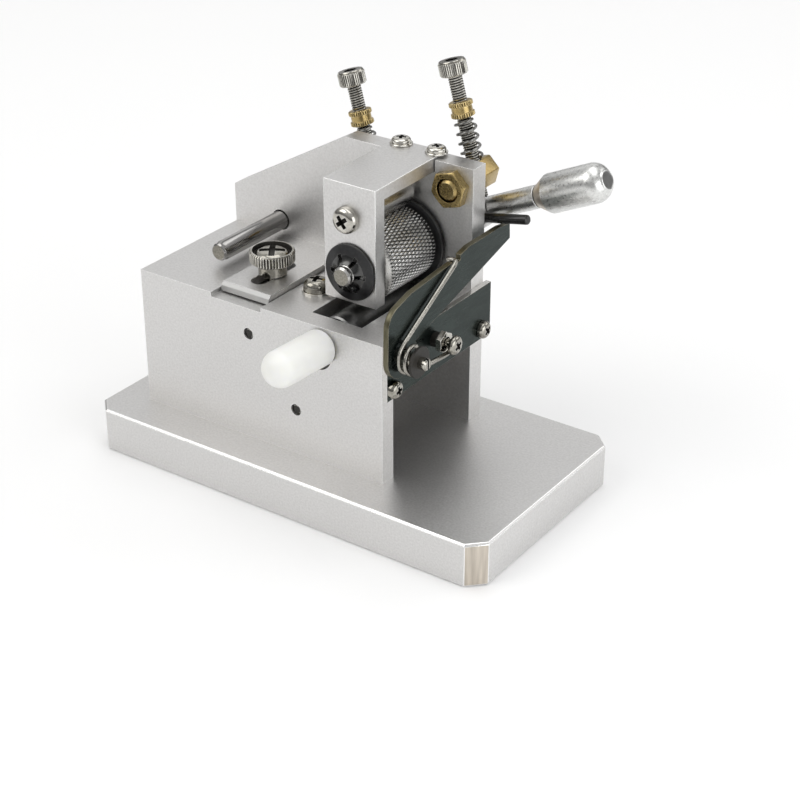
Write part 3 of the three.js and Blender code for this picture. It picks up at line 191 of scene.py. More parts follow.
def makeFinish(name, values):
    look = {**plainLook, **values}
    material = bpy.data.materials.new(name)
    material.use_nodes = True
    tree = material.node_tree
    shader = tree.nodes["Principled BSDF"]
    grain = tree.nodes.new("ShaderNodeGroup")
    grain.node_tree = toolGrain
    grainKeys = (("Stretch", "stretch"), ("Scale", "scale"), ("Cloud", "cloud"), ("Mix", "fineShare"))
    for label, key in grainKeys:
        grain.inputs[label].default_value = look[key]
    shade = grain.outputs["Shade"]
    colour = mixColour(tree, rangeNode(tree, shade, 0, 1), look["dark"], look["light"])
    if "edge" in look:
        rubbed = tree.nodes.new("ShaderNodeGroup")
        rubbed.node_tree = rubbedEdge
        rubbed.inputs["Amount"].default_value = look["edgeAmount"]
        rubbed.inputs["Break"].default_value = look["edgeBreak"]
        colour = mixColour(tree, rubbed.outputs["Mask"], colour, look["edge"])
    # painted shade deep in the knurl's grooves
    if "groove" in look:
        colour = mixColour(tree, grooveShadeMask(tree, look), colour, look["groove"])
    tree.links.new(colour, shader.inputs["Base Color"])
    tree.links.new(rangeNode(tree, shade, *look["roughness"]), shader.inputs["Roughness"])
    bump = tree.nodes.new("ShaderNodeBump")
    bump.inputs["Strength"].default_value = look["bump"]
    bump.inputs["Distance"].default_value = look["bumpDepth"]
    tree.links.new(grain.outputs["Height"], bump.inputs["Height"])
    tree.links.new(bump.outputs["Normal"], shader.inputs["Normal"])
    shader.inputs["Metallic"].default_value = look["metal"]
    for label, value in look["shader"].items():
        shader.inputs[label].default_value = value
    return material


finishes = {
    "satinAluminium": dict(  # the milled blocks, blasted and anodised
        dark=(0.61, 0.602, 0.592), light=(0.75, 0.743, 0.736), roughness=(0.38, 0.5),
        scale=2400, cloud=26, fineShare=0.8, bump=0.3, bumpDepth=0.00004,
        edge=(0.97, 0.97, 0.97), edgeAmount=6, edgeBreak=500),
    "turnedAluminium": dict(  # the lever rod and the grip
        dark=(0.58, 0.585, 0.57), light=(0.84, 0.84, 0.825), roughness=(0.24, 0.38),
        scale=1900, cloud=70, fineShare=0.85, bump=0.35, bumpDepth=0.00004,
        edge=(0.97, 0.97, 0.97), edgeAmount=4, edgeBreak=500),
    "roughMill": dict(  # sloping front face of the guide plate
        dark=(0.46, 0.46, 0.455), light=(0.62, 0.62, 0.61), roughness=(0.5, 0.65),
        stretch=(0.1, 1, 1), cloud=60, fineShare=0.75, bump=0.3, bumpDepth=0.00004),
    "petalSheen": dict(  # petals of the star clip: glossier, and lighter than the clip's black steel as a painted sheen
        dark=(0.06, 0.06, 0.06), light=(0.12, 0.12, 0.118), roughness=(0.12, 0.22), bump=0.1),
    "brightEdge": dict(  # the broken edges of the blocks, glossy; their near-white colour is partly bright bare metal and partly a painted highlight
        dark=(0.84, 0.84, 0.835), light=(0.97, 0.97, 0.965), roughness=(0.14, 0.24), bump=0.15),
    "cutAluminium": dict(  # the sawn corner of the base and the flare of the grip, with a warm tint
        dark=(0.42, 0.375, 0.32), light=(0.70, 0.64, 0.56), roughness=(0.32, 0.46),
        stretch=(1, 1, 0.08), scale=1300, cloud=90, fineShare=0.75, bump=0.35, bumpDepth=0.00004),
    "sawnFace": dict(  # matt ends of the shaft and the guide pin
        dark=(0.20, 0.19, 0.165), light=(0.44, 0.42, 0.37), roughness=(0.42, 0.6),
        scale=2600, cloud=400, fineShare=0.8, bump=0.5, bumpDepth=0.00005),
    "groundSteel": dict(
        dark=(0.46, 0.45, 0.43), light=(0.68, 0.67, 0.65), roughness=(0.18, 0.3),
        scale=1800, cloud=120, edge=(0.9, 0.9, 0.89), edgeBreak=600),
    "knurledSteel": dict(  # bright crests, with painted shade deep in the grooves
        dark=(0.90, 0.895, 0.88), light=(0.99, 0.99, 0.98), roughness=(0.16, 0.26),
        scale=2200, cloud=150, groove=(0.012, 0.011, 0.010), grooveLow=7.32, grooveHigh=7.41),
    "pinSteel": dict(  # dark polished dowel with long streaks
        dark=(0.22, 0.215, 0.21), light=(0.50, 0.49, 0.475), roughness=(0.1, 0.22),
        stretch=(1, 0.05, 1), cloud=120, fineShare=0.85, bump=0.08,
        edge=(0.8, 0.8, 0.78), edgeAmount=4, edgeBreak=600),
    "nickelScrew": dict(
        dark=(0.40, 0.385, 0.345), light=(0.70, 0.68, 0.63), roughness=(0.1, 0.22),
        scale=2000, cloud=260, fineShare=0.4, bumpDepth=0.00003, edge=(0.93, 0.92, 0.9), edgeBreak=900),
    "oldNickel": dict(  # duller and darker plating
        dark=(0.20, 0.19, 0.165), light=(0.52, 0.50, 0.445), roughness=(0.08, 0.2),
        scale=2000, cloud=300, fineShare=0.4, bumpDepth=0.00003, edge=(0.95, 0.94, 0.9), edgeBreak=900),
    "recessShadow": dict(  # painted shade: near black, for recesses, sockets, slots, valleys and other shaded spots
        dark=(0.010, 0.009, 0.008), light=(0.05, 0.046, 0.04), roughness=(0.35, 0.6),
        scale=2000, cloud=300, bump=0.3, bumpDepth=0.00004, metal=0.5),
    "springWire": dict(
        dark=(0.24, 0.23, 0.205), light=(0.47, 0.455, 0.41), roughness=(0.18, 0.3), scale=2400, bump=0.1),
    "darkWire": dict(  # oiled wire of the stop springs
        dark=(0.10, 0.10, 0.095), light=(0.36, 0.355, 0.34), roughness=(0.1, 0.22),
        scale=2400, cloud=300, bump=0.1),
    "bladeSteel": dict(  # dark oiled blades, ground along Y
        dark=(0.013, 0.020, 0.018), light=(0.037, 0.051, 0.046), roughness=(0.2, 0.34),
        stretch=(1, 0.15, 1), cloud=70, fineShare=0.45, edge=(0.26, 0.23, 0.17), edgeBreak=300, metal=0.9),
    "bladeEdge": dict(  # the sawn and heat-tinted edge of the moving blade
        dark=(0.060, 0.055, 0.032), light=(0.20, 0.185, 0.125), roughness=(0.3, 0.45),
        stretch=(4, 0.3, 0.3), cloud=90, fineShare=0.6, bump=0.3, bumpDepth=0.00003,
        edge=(0.45, 0.43, 0.36), edgeBreak=500, metal=0.9),
    "blackSteel": dict(
        dark=(0.014, 0.014, 0.015), light=(0.040, 0.040, 0.041), roughness=(0.28, 0.4),
        scale=1600, cloud=150, bump=0.15, edge=(0.16, 0.16, 0.15), edgeBreak=600, metal=0.35),
    "glossBlack": dict(  # polished black pin
        dark=(0.008, 0.008, 0.008), light=(0.024, 0.024, 0.023), roughness=(0.1, 0.2),
        stretch=(0.1, 1, 1), bump=0.1, edge=(0.2, 0.2, 0.19), edgeBreak=600, metal=0.2),
    "greySteelAndShade": dict(  # dull dark grey: the pinch roller's steel, the dark end of the grip, and on the front bush painted shade seen through the star clip's slots
        dark=(0.15, 0.15, 0.15), light=(0.27, 0.27, 0.265), roughness=(0.25, 0.4),
        scale=1600, cloud=150, edge=(0.75, 0.75, 0.74), edgeBreak=900),
    "brass": dict(
        dark=(0.29, 0.205, 0.075), light=(0.52, 0.40, 0.185), roughness=(0.2, 0.34),
        cloud=160, fineShare=0.45, edge=(0.80, 0.68, 0.40), edgeBreak=700),
    "brassShadow": dict(  # between the knurls of the inserts
        dark=(0.045, 0.030, 0.010), light=(0.12, 0.085, 0.032), roughness=(0.3, 0.45),
        cloud=160, fineShare=0.45),
    "bronze": dict(
        dark=(0.20, 0.16, 0.11), light=(0.34, 0.28, 0.20), roughness=(0.4, 0.55),
        scale=2500, fineShare=0.7, bump=0.3, bumpDepth=0.00004),
    "whiteVinyl": dict(
        dark=(0.86, 0.86, 0.83), light=(0.93, 0.93, 0.905), roughness=(0.3, 0.42),
        scale=400, cloud=60, fineShare=0.3, bump=0.05, bumpDepth=0.00005, metal=0.0,
        shader={"Subsurface Weight": 0.35, "Subsurface Radius": (0.004, 0.004, 0.003),
                "Subsurface Scale": 0.5, "Specular IOR Level": 0.5}),
}
materials = {name: makeFinish(name, look) for name, look in finishes.items()}
print("materials made:", len(materials))

slotFinish = {
    "satin_aluminium": "satinAluminium", "machined_aluminium": "turnedAluminium",
    "ground_steel": "groundSteel", "nickel_screw": "nickelScrew", "spring_wire": "springWire",
    "blade_steel": "bladeSteel", "black_steel": "blackSteel", "brass": "brass", "bronze": "bronze",
    "white_vinyl": "whiteVinyl",
}
nodeFinish = {"front_bush": "greySteelAndShade"}  # differs from its slot's finish: painted shade, so the star clip's slots look dark
for name, node in nodes.items():
    node.data.materials.clear()
    node.data.materials.append(materials[nodeFinish.get(name, slotFinish[slotOf[name]])])

# How pieces are made

merging = 0.0005  # points nearer than this are one
plainAngle = 32  # degrees between faces from which an edge is shaded sharp


def move(bm, matrix, verts=None):
    bmesh.ops.transform(bm, matrix=matrix, verts=verts or bm.verts)


def resize(bm, factor):
    bmesh.ops.scale(bm, vec=(factor, factor, factor), verts=bm.verts)


def addObject(name, data):
    made = bpy.data.objects.new(name, data)
    bpy.context.scene.collection.objects.link(made)
    return made


def finishPiece(bm, node, finish, sharpAngle=plainAngle, extras=(), bend=None):
    # An extra gives a finish to the faces its test picks by centre, in millimetres, and normal.
    resize(bm, metres)
    name = node + "_dressed"
    mesh = bpy.data.meshes.new(name)
    bm.to_mesh(mesh)
    bm.free()
    mesh.shade_smooth()
    mesh.set_sharp_from_angle(angle=radians(sharpAngle))
    piece = addObject(name, mesh)
    mesh.materials.append(materials[finish])
    # the aluminium blocks' bevels get a lighter finish, partly a painted highlight
    mesh.materials.append(materials["brightEdge" if finish == "satinAluminium" else finish])
    for index, extra in enumerate(extras):
        mesh.materials.append(materials[extra["finish"]])
        for face in mesh.polygons:
            if extra["where"](face.center / metres, face.normal):
                face.material_index = index + 2
    if bend:
        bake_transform(piece)
    else:
        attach(piece, bodyOf[node])
    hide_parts(node)
    return piece


breaking = dict(same=0.002, flat=radians(0.6), sharp=radians(28), steps=2, sharpAngle=50)


def breakEdges(bm, edges, width, steps):
    made = bmesh.ops.bevel(
        bm, geom=edges, offset=width, offset_type="OFFSET", affect="EDGES",
        segments=steps, profile=0.5, clamp_overlap=True, material=-1,
    )
    return made["faces"]


def brokenEdgeCopy(node, width, finish, extras=()):  # the solid's own mesh with its sharp edges bevelled
    bm = bmesh.new()
    bm.from_mesh(nodes[node].data)
    resize(bm, 1 / metres)
    bmesh.ops.remove_doubles(bm, verts=bm.verts, dist=breaking["same"])
    bmesh.ops.dissolve_limit(bm, angle_limit=breaking["flat"], verts=bm.verts, edges=bm.edges)
    sharp = [e for e in bm.edges if len(e.link_faces) == 2 and e.calc_face_angle(0) > breaking["sharp"]]
    for face in breakEdges(bm, sharp, width, breaking["steps"]):
        face.material_index = 1
    piece = finishPiece(bm, node, finish, breaking["sharpAngle"], extras)
    even = piece.modifiers.new("evenNormals", "WEIGHTED_NORMAL")
    even.keep_sharp = True


def spinProfile(bm, profile, steps):
    corners = [bm.verts.new((r, 0, h)) for r, h in profile]
    edges = [bm.edges.new(pair) for pair in zip(corners, corners[1:])]
    bmesh.ops.spin(
        bm, geom=corners + edges, cent=(0, 0, 0), axis=(0, 0, 1), angle=2 * pi, steps=steps,
        use_merge=True, use_duplicate=False,
    )
    bmesh.ops.remove_doubles(bm, verts=bm.verts, dist=merging)
    bmesh.ops.recalc_face_normals(bm, faces=bm.faces)


def rodProfile(radius, low, high, lowEdge, highEdge):
    return [(0, low), (radius - lowEdge, low), (radius, low + lowEdge),
            (radius, high - highEdge), (radius - highEdge, high), (0, high)]


def ringProfile(inner, outer, low, high, edge):
    return [(inner, low), (outer - edge, low), (outer, low + edge),
            (outer, high - edge), (outer - edge, high), (inner, high), (inner, low)]


def alongY(x, z, y=0.0):  # local Z runs to +Y
    return Matrix.Translation((x, y, z)) @ Matrix.Rotation(-pi / 2, 4, "X")


def alongX(x, y, z):  # local Z runs to +X
    return Matrix.Translation((x, y, z)) @ Matrix.Rotation(pi / 2, 4, "Y")


def alongZ(x, y, z):
    return Matrix.Translation((x, y, z))


def turnedPiece(node, profile, place, finish, steps=72, sharpAngle=plainAngle, extras=()):
    bm = bmesh.new()
    spinProfile(bm, profile, steps)
    move(bm, place)
    return finishPiece(bm, node, finish, sharpAngle, extras)


def wrapGrid(bm, around, along, shape):  # a sheet wrapped round Z: shape gives radius and height
    sheet = bmesh.ops.create_grid(bm, x_segments=around, y_segments=along, size=0.5)
    for vert in sheet["verts"]:
        u, v = vert.co.x + 0.5, vert.co.y + 0.5
        radius, height = shape(u, v)
        vert.co = (radius * cos(2 * pi * u), radius * sin(2 * pi * u), height)
    bmesh.ops.remove_doubles(bm, verts=sheet["verts"], dist=merging)
    bmesh.ops.holes_fill(bm, edges=[e for e in bm.edges if e.is_boundary])
    bmesh.ops.recalc_face_normals(bm, faces=bm.faces)


def wave(value):  # 0 at a whole number and 1 half way between two
    part = value - int(value // 1)
    return 1 - abs(2 * part - 1)


ribSteps = 6  # faces round each rib


def addRibbed(bm, rows, ribbed, look):  # a turned shape from rows of radius and height, some with ribs
    last = len(rows) - 1

    def shape(u, v):
        row = round(v * last)
        radius, height = rows[row]
        if row in ribbed:
            radius -= look["ribDepth"] * (1 - min(1, look["ribSlope"] * wave(u * look["ribs"])))
        return radius, height

    wrapGrid(bm, look["ribs"] * ribSteps, last, shape)


def addShape(bm, shape):  # joins a second bmesh to the first
    mesh = bpy.data.meshes.new("shape")
    shape.to_mesh(mesh)
    shape.free()
    bm.from_mesh(mesh)
    bpy.data.meshes.remove(mesh)


def cutAway(piece, makeTools, inside=None):
    # Takes the tools' solid out. The cut faces may get a finish of their own.
    tools = bmesh.new()
    makeTools(tools)
    resize(tools, metres)
    toolMesh = bpy.data.meshes.new("cutter")
    tools.to_mesh(toolMesh)
    tools.free()
    toolMesh.materials.append(materials[inside] if inside else piece.data.materials[0])
    cutter = addObject("cutter", toolMesh)
    step = piece.modifiers.new("cut", "BOOLEAN")
    step.operation = "DIFFERENCE"
    step.solver = "EXACT"
    step.material_mode = "TRANSFER"
    step.use_self = True
    step.object = cutter
    bpy.context.view_layer.update()
    depsgraph = bpy.context.evaluated_depsgraph_get()
    result = bpy.data.meshes.new_from_object(piece.evaluated_get(depsgraph))
    piece.modifiers.clear()
    piece.data = result
    result.shade_smooth()
    result.set_sharp_from_angle(angle=radians(plainAngle))
    bpy.data.objects.remove(cutter)
    bpy.data.meshes.remove(toolMesh)


def addBlock(bm, centre, size):
    made = bmesh.ops.create_cube(bm, size=1)
    bmesh.ops.scale(bm, vec=size, verts=made["verts"])
    bmesh.ops.translate(bm, vec=centre, verts=made["verts"])
    return made["verts"]


def addPrism(bm, sides, radius, depth, place):
    made = bmesh.ops.create_cone(
        bm, cap_ends=True, segments=sides, radius1=radius, radius2=radius, depth=depth)
    move(bm, place, made["verts"])


def crossTools(place, top, size, turn, taper):  # a cross recess that narrows as it goes in
    def makeTools(bm):
        for angle in (turn, turn + pi / 2):
            wing = addBlock(bm, (0, 0, top), size)
            for vert in wing:
                if vert.co.z < top:
                    vert.co.x *= taper[0]
                    vert.co.y *= taper[1]
            move(bm, Matrix.Rotation(angle, 4, "Z"), wing)
        move(bm, place)
    return makeTools


# Pan-head screws with a cross recess

panHead = dict(tipEdge=0.3, collarEdge=0.1, rimEdge=0.12, rimShare=0.36, domeShare=0.64, domeSteps=9,
               squareness=0.55, recessLength=1.42, recessDepth=1.3, taper=(0.5, 0.7))
screwKinds = {
    "big": dict(shank=1.45, head=2.72, height=2.0, slot=1.05, length=8.8),
    "middle": dict(shank=1.2, head=2.3, height=1.6, slot=0.9, length=9),
    "small": dict(shank=0.95, head=1.95, height=1.6, slot=0.78, length=6),
}


def screwPiece(node, kind, turn, place, finish="nickelScrew", **changes):
    screw = {**screwKinds[kind], "collar": 0, "collarHeight": 0, **changes}
    collar, r, h, length = screw["collarHeight"], screw["head"], screw["height"], screw["length"]
    tip, edge, rim = panHead["tipEdge"], panHead["collarEdge"], panHead["rimEdge"]
    profile = [(0, -length), (screw["shank"] - tip, -length), (screw["shank"], tip - length)]
    profile.append((screw["shank"], 0))
    if collar:
        profile += [(screw["collar"] - edge, 0), (screw["collar"], edge),
                    (screw["collar"], collar - edge), (screw["collar"] - edge, collar)]
    profile += [(r - rim, collar), (r, collar + rim)]
    for i in range(panHead["domeSteps"]):
        angle = radians(90 / panHead["domeSteps"] * (i + 0.5))
        profile.append((r * cos(angle) ** panHead["squareness"],
                        collar + h * panHead["rimShare"] + h * panHead["domeShare"] * sin(angle)))
    profile.append((0, collar + h))
    piece = turnedPiece(node, profile, place, finish, steps=56)
    recess = (r * panHead["recessLength"], screw["slot"], h * panHead["recessDepth"])
    cutAway(piece, crossTools(place, collar + h, recess, radians(turn), panHead["taper"]), "recessShadow")


rearFace = 18.6  # the back of the rear plate, in Y
spacer = dict(x=4.15, z=57.6, front=-2.26, rear=12.9, radius=3, edge=0.2, spigot=1.6, spigotEnd=14.3)
towardFront = Matrix.Rotation(pi / 2, 4, "X")  # local Z runs to -Y
cheekPlace = Matrix.Translation((spacer["x"], -5.26, spacer["z"])) @ towardFront
screwPiece("cheek_screw", "big", 37, cheekPlace)
screwPiece("top_screw", "big", 15, alongZ(-4.75, -3.9, 40.0), "oldNickel", head=2.6, height=2.3, length=5.8)
for side, x, turn in (("left", 1.17, 20), ("right", 9.57, 50)):
    screwPiece(f"bracket_screw_{side}", "small", turn, alongZ(x, 16.9, 65.2),
               height=1.1, collar=2.3, collarHeight=0.4, length=7.8)
for end, y, turn in (("front", -14.4, 12), ("rear", 16.45, 40)):
    screwPiece(f"fixed_blade_screw_{end}", "small", turn, alongX(21.1, y, 30.2), "oldNickel", head=1.85)
screwPiece("anchor_screw", "small", 30, alongX(25.4, -0.4, 35), "oldNickel", height=1.3, length=5.4)
for side, x in (("left", -32.1), ("right", 15.4)):
    screwPiece(f"rear_plate_screw_{side}", "middle", 25, alongY(x, 37.5, rearFace))
screwPiece("spacer_screw", "small", 10, alongY(spacer["x"], spacer["z"], rearFace), length=9)
print("screws made")

# Milled blocks with broken edges

corner = dict(finish="cutAluminium", where=lambda centre, normal: normal.x > 0.69 and normal.y < -0.69)
slope = dict(finish="roughMill", where=lambda centre, normal: normal.y < -0.3 and normal.z < 0.95)
groundEnds = dict(finish="groundSteel", where=lambda centre, normal: normal.y < -0.7 or normal.z > 0.7)
tintedEdge = dict(finish="bladeEdge", where=lambda centre, normal: abs(normal.x) < 0.6)
# painted shade on the anchor nut's collar beside the blade
nutCollarShade = dict(finish="recessShadow", where=lambda centre, normal: centre.x < 22.6)
for node, width, finish, extras in (
    ("base_plate", 0.16, "satinAluminium", [corner]), ("body_block", 0.16, "satinAluminium", []),
    ("rear_plate", 0.16, "satinAluminium", []), ("roller_bracket", 0.2, "satinAluminium", []),
    ("strip_guide", 0.1, "satinAluminium", [slope]), ("rocker_hub", 0.2, "satinAluminium", []),
    ("fixed_blade", 0.06, "bladeSteel", [groundEnds]), ("moving_blade", 0.12, "bladeSteel", [tintedEdge]),
    ("stop_nut_left", 0.12, "brass", []), ("stop_nut_right", 0.12, "brass", []),
    ("anchor_nut", 0.08, "nickelScrew", [nutCollarShade]), ("release_arm", 0.12, "blackSteel", []),
):
    brokenEdgeCopy(node, width, finish, extras)
print("blocks made")

# Feed roller with its knurl, shaft and washer

rollerPlace = alongY(roller["x"], roller["z"])


def makeFeedRoller():
    cells = round(2 * pi * roller["radius"] / roller["pitch"])
    body = roller["rear"] - roller["front"] - 2 * roller["chamfer"]
    rows = round(body / roller["length"])
    inner = rows * roller["alongSteps"]
    total = inner + 4
    low = roller["radius"] - roller["depth"]

    def shape(u, v):
        row = round(v * total)
        if row in (0, total):
            return low - roller["chamfer"], roller["front" if row == 0 else "rear"]
        if row in (1, total - 1):
            inward = roller["chamfer"] * 0.7
            return low, roller["front"] + inward if row == 1 else roller["rear"] - inward
        along = (row - 2) / inner
        a, b = u * cells, along * rows
        ridge = min(wave(a + b), wave(a - b))
        height = roller["front"] + roller["chamfer"] + along * body
        return low + roller["depth"] * (1 - (1 - min(1, roller["crest"] * ridge)) ** 2), height

    bm = bmesh.new()
    wrapGrid(bm, cells * roller["aroundSteps"], total, shape)
    move(bm, rollerPlace)
    ends = dict(finish="groundSteel", where=lambda centre, normal: abs(normal.y) > 0.6)
    finishPiece(bm, "feed_roller", "knurledSteel", sharpAngle=60, extras=[ends])


makeFeedRoller()
sawnFront = dict(finish="sawnFace", where=lambda centre, normal: normal.y < -0.95)
shaftProfile = [  # with a groove for the star clip
    (0, -8.6), (1.65, -8.6), (2, -8.25), (2, -7.6), (1.86, -7.5), (1.86, -7.3), (2, -7.2),
    (2, 30.1), (1.61, 30.49), (0, 30.49),
]
turnedPiece("roller_shaft", shaftProfile, rollerPlace, "groundSteel", extras=[sawnFront])
washer = dict(inner=2.25, outer=8.7, low=roller["rear"], high=13.9, edge=0.1)
turnedPiece("roller_washer", ringProfile(**washer), rollerPlace, "blackSteel", steps=96)

# Star clip in front of the cheek

clip = dict(radius=5.85, inner=2.25, rim=-5.56, dish=1.0, thickness=0.5, petals=3.6,
            slotWidth=0.9, slotStart=1, slotEnd=4.1, slotDepth=5, slots=6)


def makeRetainerClip():
    neck = clip["rim"] - clip["dish"]
    r = clip["radius"]
    profile = [
        (clip["inner"], neck - 0.85), (r * 0.56, neck), (r * 0.66, neck + 0.08), (r * 0.8, neck + 0.42),
        (r - 0.12, clip["rim"] - 0.28), (r, clip["rim"] - 0.14), (r, clip["rim"]), (r - 0.5, clip["rim"]),
        (r * 0.62, neck + clip["thickness"]), (clip["inner"], neck - 0.4), (clip["inner"], neck - 0.85),
    ]

    # the petals' lighter finish is a painted sheen
    def onPetals(centre, normal):
        return hypot(centre.x - roller["x"], centre.z - roller["z"]) < clip["petals"]
    petals = dict(finish="petalSheen", where=onPetals)
    piece = turnedPiece("retainer_clip", profile, rollerPlace, "blackSteel", steps=96, extras=[petals])

    def makeTools(bm):
        middle = ((clip["slotStart"] + clip["slotEnd"]) / 2, 0, clip["rim"] - 1)
        size = (clip["slotEnd"] - clip["slotStart"], clip["slotWidth"], clip["slotDepth"])
        for i in range(clip["slots"]):
            slot = addBlock(bm, middle, size)
            move(bm, Matrix.Rotation(2 * pi * i / clip["slots"], 4, "Z"), slot)
        move(bm, rollerPlace)
    cutAway(piece, makeTools)


makeRetainerClip()
print("roller made")

# Pins and the pivot stud

guidePin = [  # with a turned nose
    (0, -6.1), (1.5, -6.1), (1.65, -6.02), (1.85, -5.75), (1.85, -5.0), (2, -4.7),
    (2, 18.1), (1.8, 18.3), (0, 18.3),
]
turnedPiece("guide_pin", guidePin, alongY(-27.9, 42.6), "pinSteel", extras=[sawnFront])
innerPin = dict(radius=1, low=-15.9, high=16.5, lowEdge=0.2, highEdge=0.1)
for node, x, z in (("release_pivot_pin", -12.4, 32.9), ("spring_anchor_pin", -1.0, 19.4)):
    turnedPiece(node, rodProfile(**innerPin), alongY(x, z), "groundSteel", steps=40,
                extras=[dict(sawnFront, finish="recessShadow")])
edge = spacer["edge"]
spacerProfile = rodProfile(spacer["radius"], spacer["front"], spacer["rear"], edge, edge)
spacerProfile[-1:] = [(spacer["spigot"], spacer["rear"]), (spacer["spigot"], spacer["spigotEnd"]),
                      (0, spacer["spigotEnd"])]
turnedPiece("spacer_post", spacerProfile, alongY(spacer["x"], spacer["z"]), "groundSteel")

stud = dict(x=19.9, y=-13.1, z=36.9, neck=1.3, discFrom=25.8, slotAt=28.3, slot=(1.4, 0.5, 4))
studProfile = [  # shank, washer, end
    (0, -5.4), (1.5, -5.4), (1.5, 6.01), (3.05, 6.01), (3.15, 6.11), (3.15, 6.51), (3.05, 6.61),
    (1.2, 6.61), (1.2, 8.15), (0.95, 8.4), (0, 8.4),
]


def onStudDisc(centre, normal):
    reach = hypot(centre.y - stud["y"], centre.z - stud["z"])
    return reach > stud["neck"] and centre.x > stud["discFrom"]


def makeStudSlot(bm):
    addBlock(bm, (stud["slotAt"], stud["y"], stud["z"]), stud["slot"])


studPiece = turnedPiece(
    "pivot_stud", studProfile, alongX(stud["x"], stud["y"], stud["z"]), "oldNickel", steps=56,
    extras=[dict(finish="blackSteel", where=onStudDisc)])
cutAway(studPiece, makeStudSlot, "recessShadow")
pinchRoller = dict(inner=1.65, outer=4, low=-10.1, high=12.0, edge=0.3)
turnedPiece("pinch_roller", ringProfile(**pinchRoller), alongY(5.1, 35), "greySteelAndShade")

# Lever, grip and striker pin

lever = dict(angle=radians(24.8), y=25.5, start=4.7, shoulder=7.8, rod=2.4, spigot=1.4, rodEnd=25.5,
             rodEdge=0.1, endEdge=0.08, spigotLength=5)
grip = dict(radius=4.0, bore=1.65, boreDepth=5.2, neck=2.45, start=25.8, end=42.0, dome=3.4,
            domeSteps=14, squareness=0.75, flare=2.7, tip=1.9, dimple=0.15)
leverTurn = Matrix.Rotation(-lever["angle"], 4, "Y") @ Matrix.Rotation(pi / 2, 4, "Y")
leverPlace = Matrix.Translation((roller["x"], lever["y"], roller["z"])) @ leverTurn


def makeRod():
    spigot, rod, start, shoulder = lever["spigot"], lever["rod"], lever["start"], lever["shoulder"]
    end, last = lever["rodEnd"], lever["rodEnd"] + lever["spigotLength"]
    edge, endEdge = lever["rodEdge"], lever["endEdge"]
    profile = [
        (0, start), (spigot, start), (spigot, shoulder), (rod - edge, shoulder), (rod, shoulder + edge),
        (rod, end - endEdge), (rod - endEdge, end), (spigot, end), (spigot, last), (0, last),
    ]
    turnedPiece("lever_rod", profile, leverPlace, "turnedAluminium")


def makeGrip():
    start, end, r, tip = grip["start"], grip["end"], grip["radius"], grip["tip"]
    boreEnd, flareEnd, dimpled = start + grip["boreDepth"], start + grip["flare"], end - grip["dimple"]
    profile = [(0, boreEnd), (grip["bore"], boreEnd), (grip["bore"], start), (grip["neck"] - 0.1, start),
               (grip["neck"], start + 0.08), (r - 0.05, flareEnd), (r, flareEnd + 0.15)]
    for i in range(1, grip["domeSteps"] - 1):
        angle = i / grip["domeSteps"] * pi / 2
        radius = r * cos(angle) ** grip["squareness"]
        height = end - grip["dome"] + grip["dome"] * sin(angle)
        if height < end - 1 or radius > tip:
            profile.append((radius, height))
    profile += [(tip, end - 0.05), (tip - 0.1, end), (tip - 0.2, dimpled), (0, dimpled)]
    back = leverPlace.inverted()

    def atTip(centre, normal):  # the flat dimple at the end
        spot = back @ centre
        return spot.z > end - 0.2 and hypot(spot.x, spot.y) < tip - 0.12

    def onFlare(centre, normal):
        return (back @ centre).z < flareEnd - 0.1
    extras = [dict(finish="greySteelAndShade", where=atTip), dict(finish="cutAluminium", where=onFlare)]
    turnedPiece("lever_grip", profile, leverPlace, "turnedAluminium", 96, 20, extras)


makeRod()
makeGrip()
striker = dict(at=(22.0, 21.2, 52.81), lean=radians(11.2))
strikerTurn = Matrix.Rotation(-striker["lean"], 4, "Y") @ Matrix.Rotation(pi / 2, 4, "Y")
strikerProfile = [(0, -8), (1, -8), (1, 6.1), (0.93, 6.35), (0.75, 6.5), (0, 6.55)]
strikerPlace = Matrix.Translation(striker["at"]) @ strikerTurn
turnedPiece("striker_pin", strikerProfile, strikerPlace, "glossBlack", steps=40)
print("lever made")

# White knob

knob = dict(radius=3.7, length=15.69, rear=-16.6, lean=radians(3), x=5.7, z=35.5,
            domeShare=0.92, domeSteps=16)


def makeKnob():
    r, dome = knob["radius"], knob["radius"] * knob["domeShare"]
    profile = [(0, 0), (r - 0.35, 0), (r - 0.1, 0.1), (r, 0.35)]
    for i in range(knob["domeSteps"]):
        angle = i / knob["domeSteps"] * pi / 2
        profile.append((r * cos(angle), knob["length"] - dome + dome * sin(angle)))
    profile.append((0, knob["length"]))
    turn = Matrix.Rotation(pi / 2 - knob["lean"], 4, "X")
    place = Matrix.Translation((knob["x"], knob["rear"], knob["z"])) @ turn
    turnedPiece("release_cap", profile, place, "whiteVinyl", sharpAngle=60)


makeKnob()

# Thumbscrew

thumb = dict(x=-15.35, y=-4.3, z=40.9, head=4.6, neck=2.9, shank=1.0, shankEnd=-6.4,
             rimLow=2.4, rimHigh=5.0, ribs=46, ribDepth=0.3, ribSlope=1.9,
             cross=1.5, crossLength=1.3, crossDepth=1.7, crossTurn=35, taper=(0.8, 0.7))


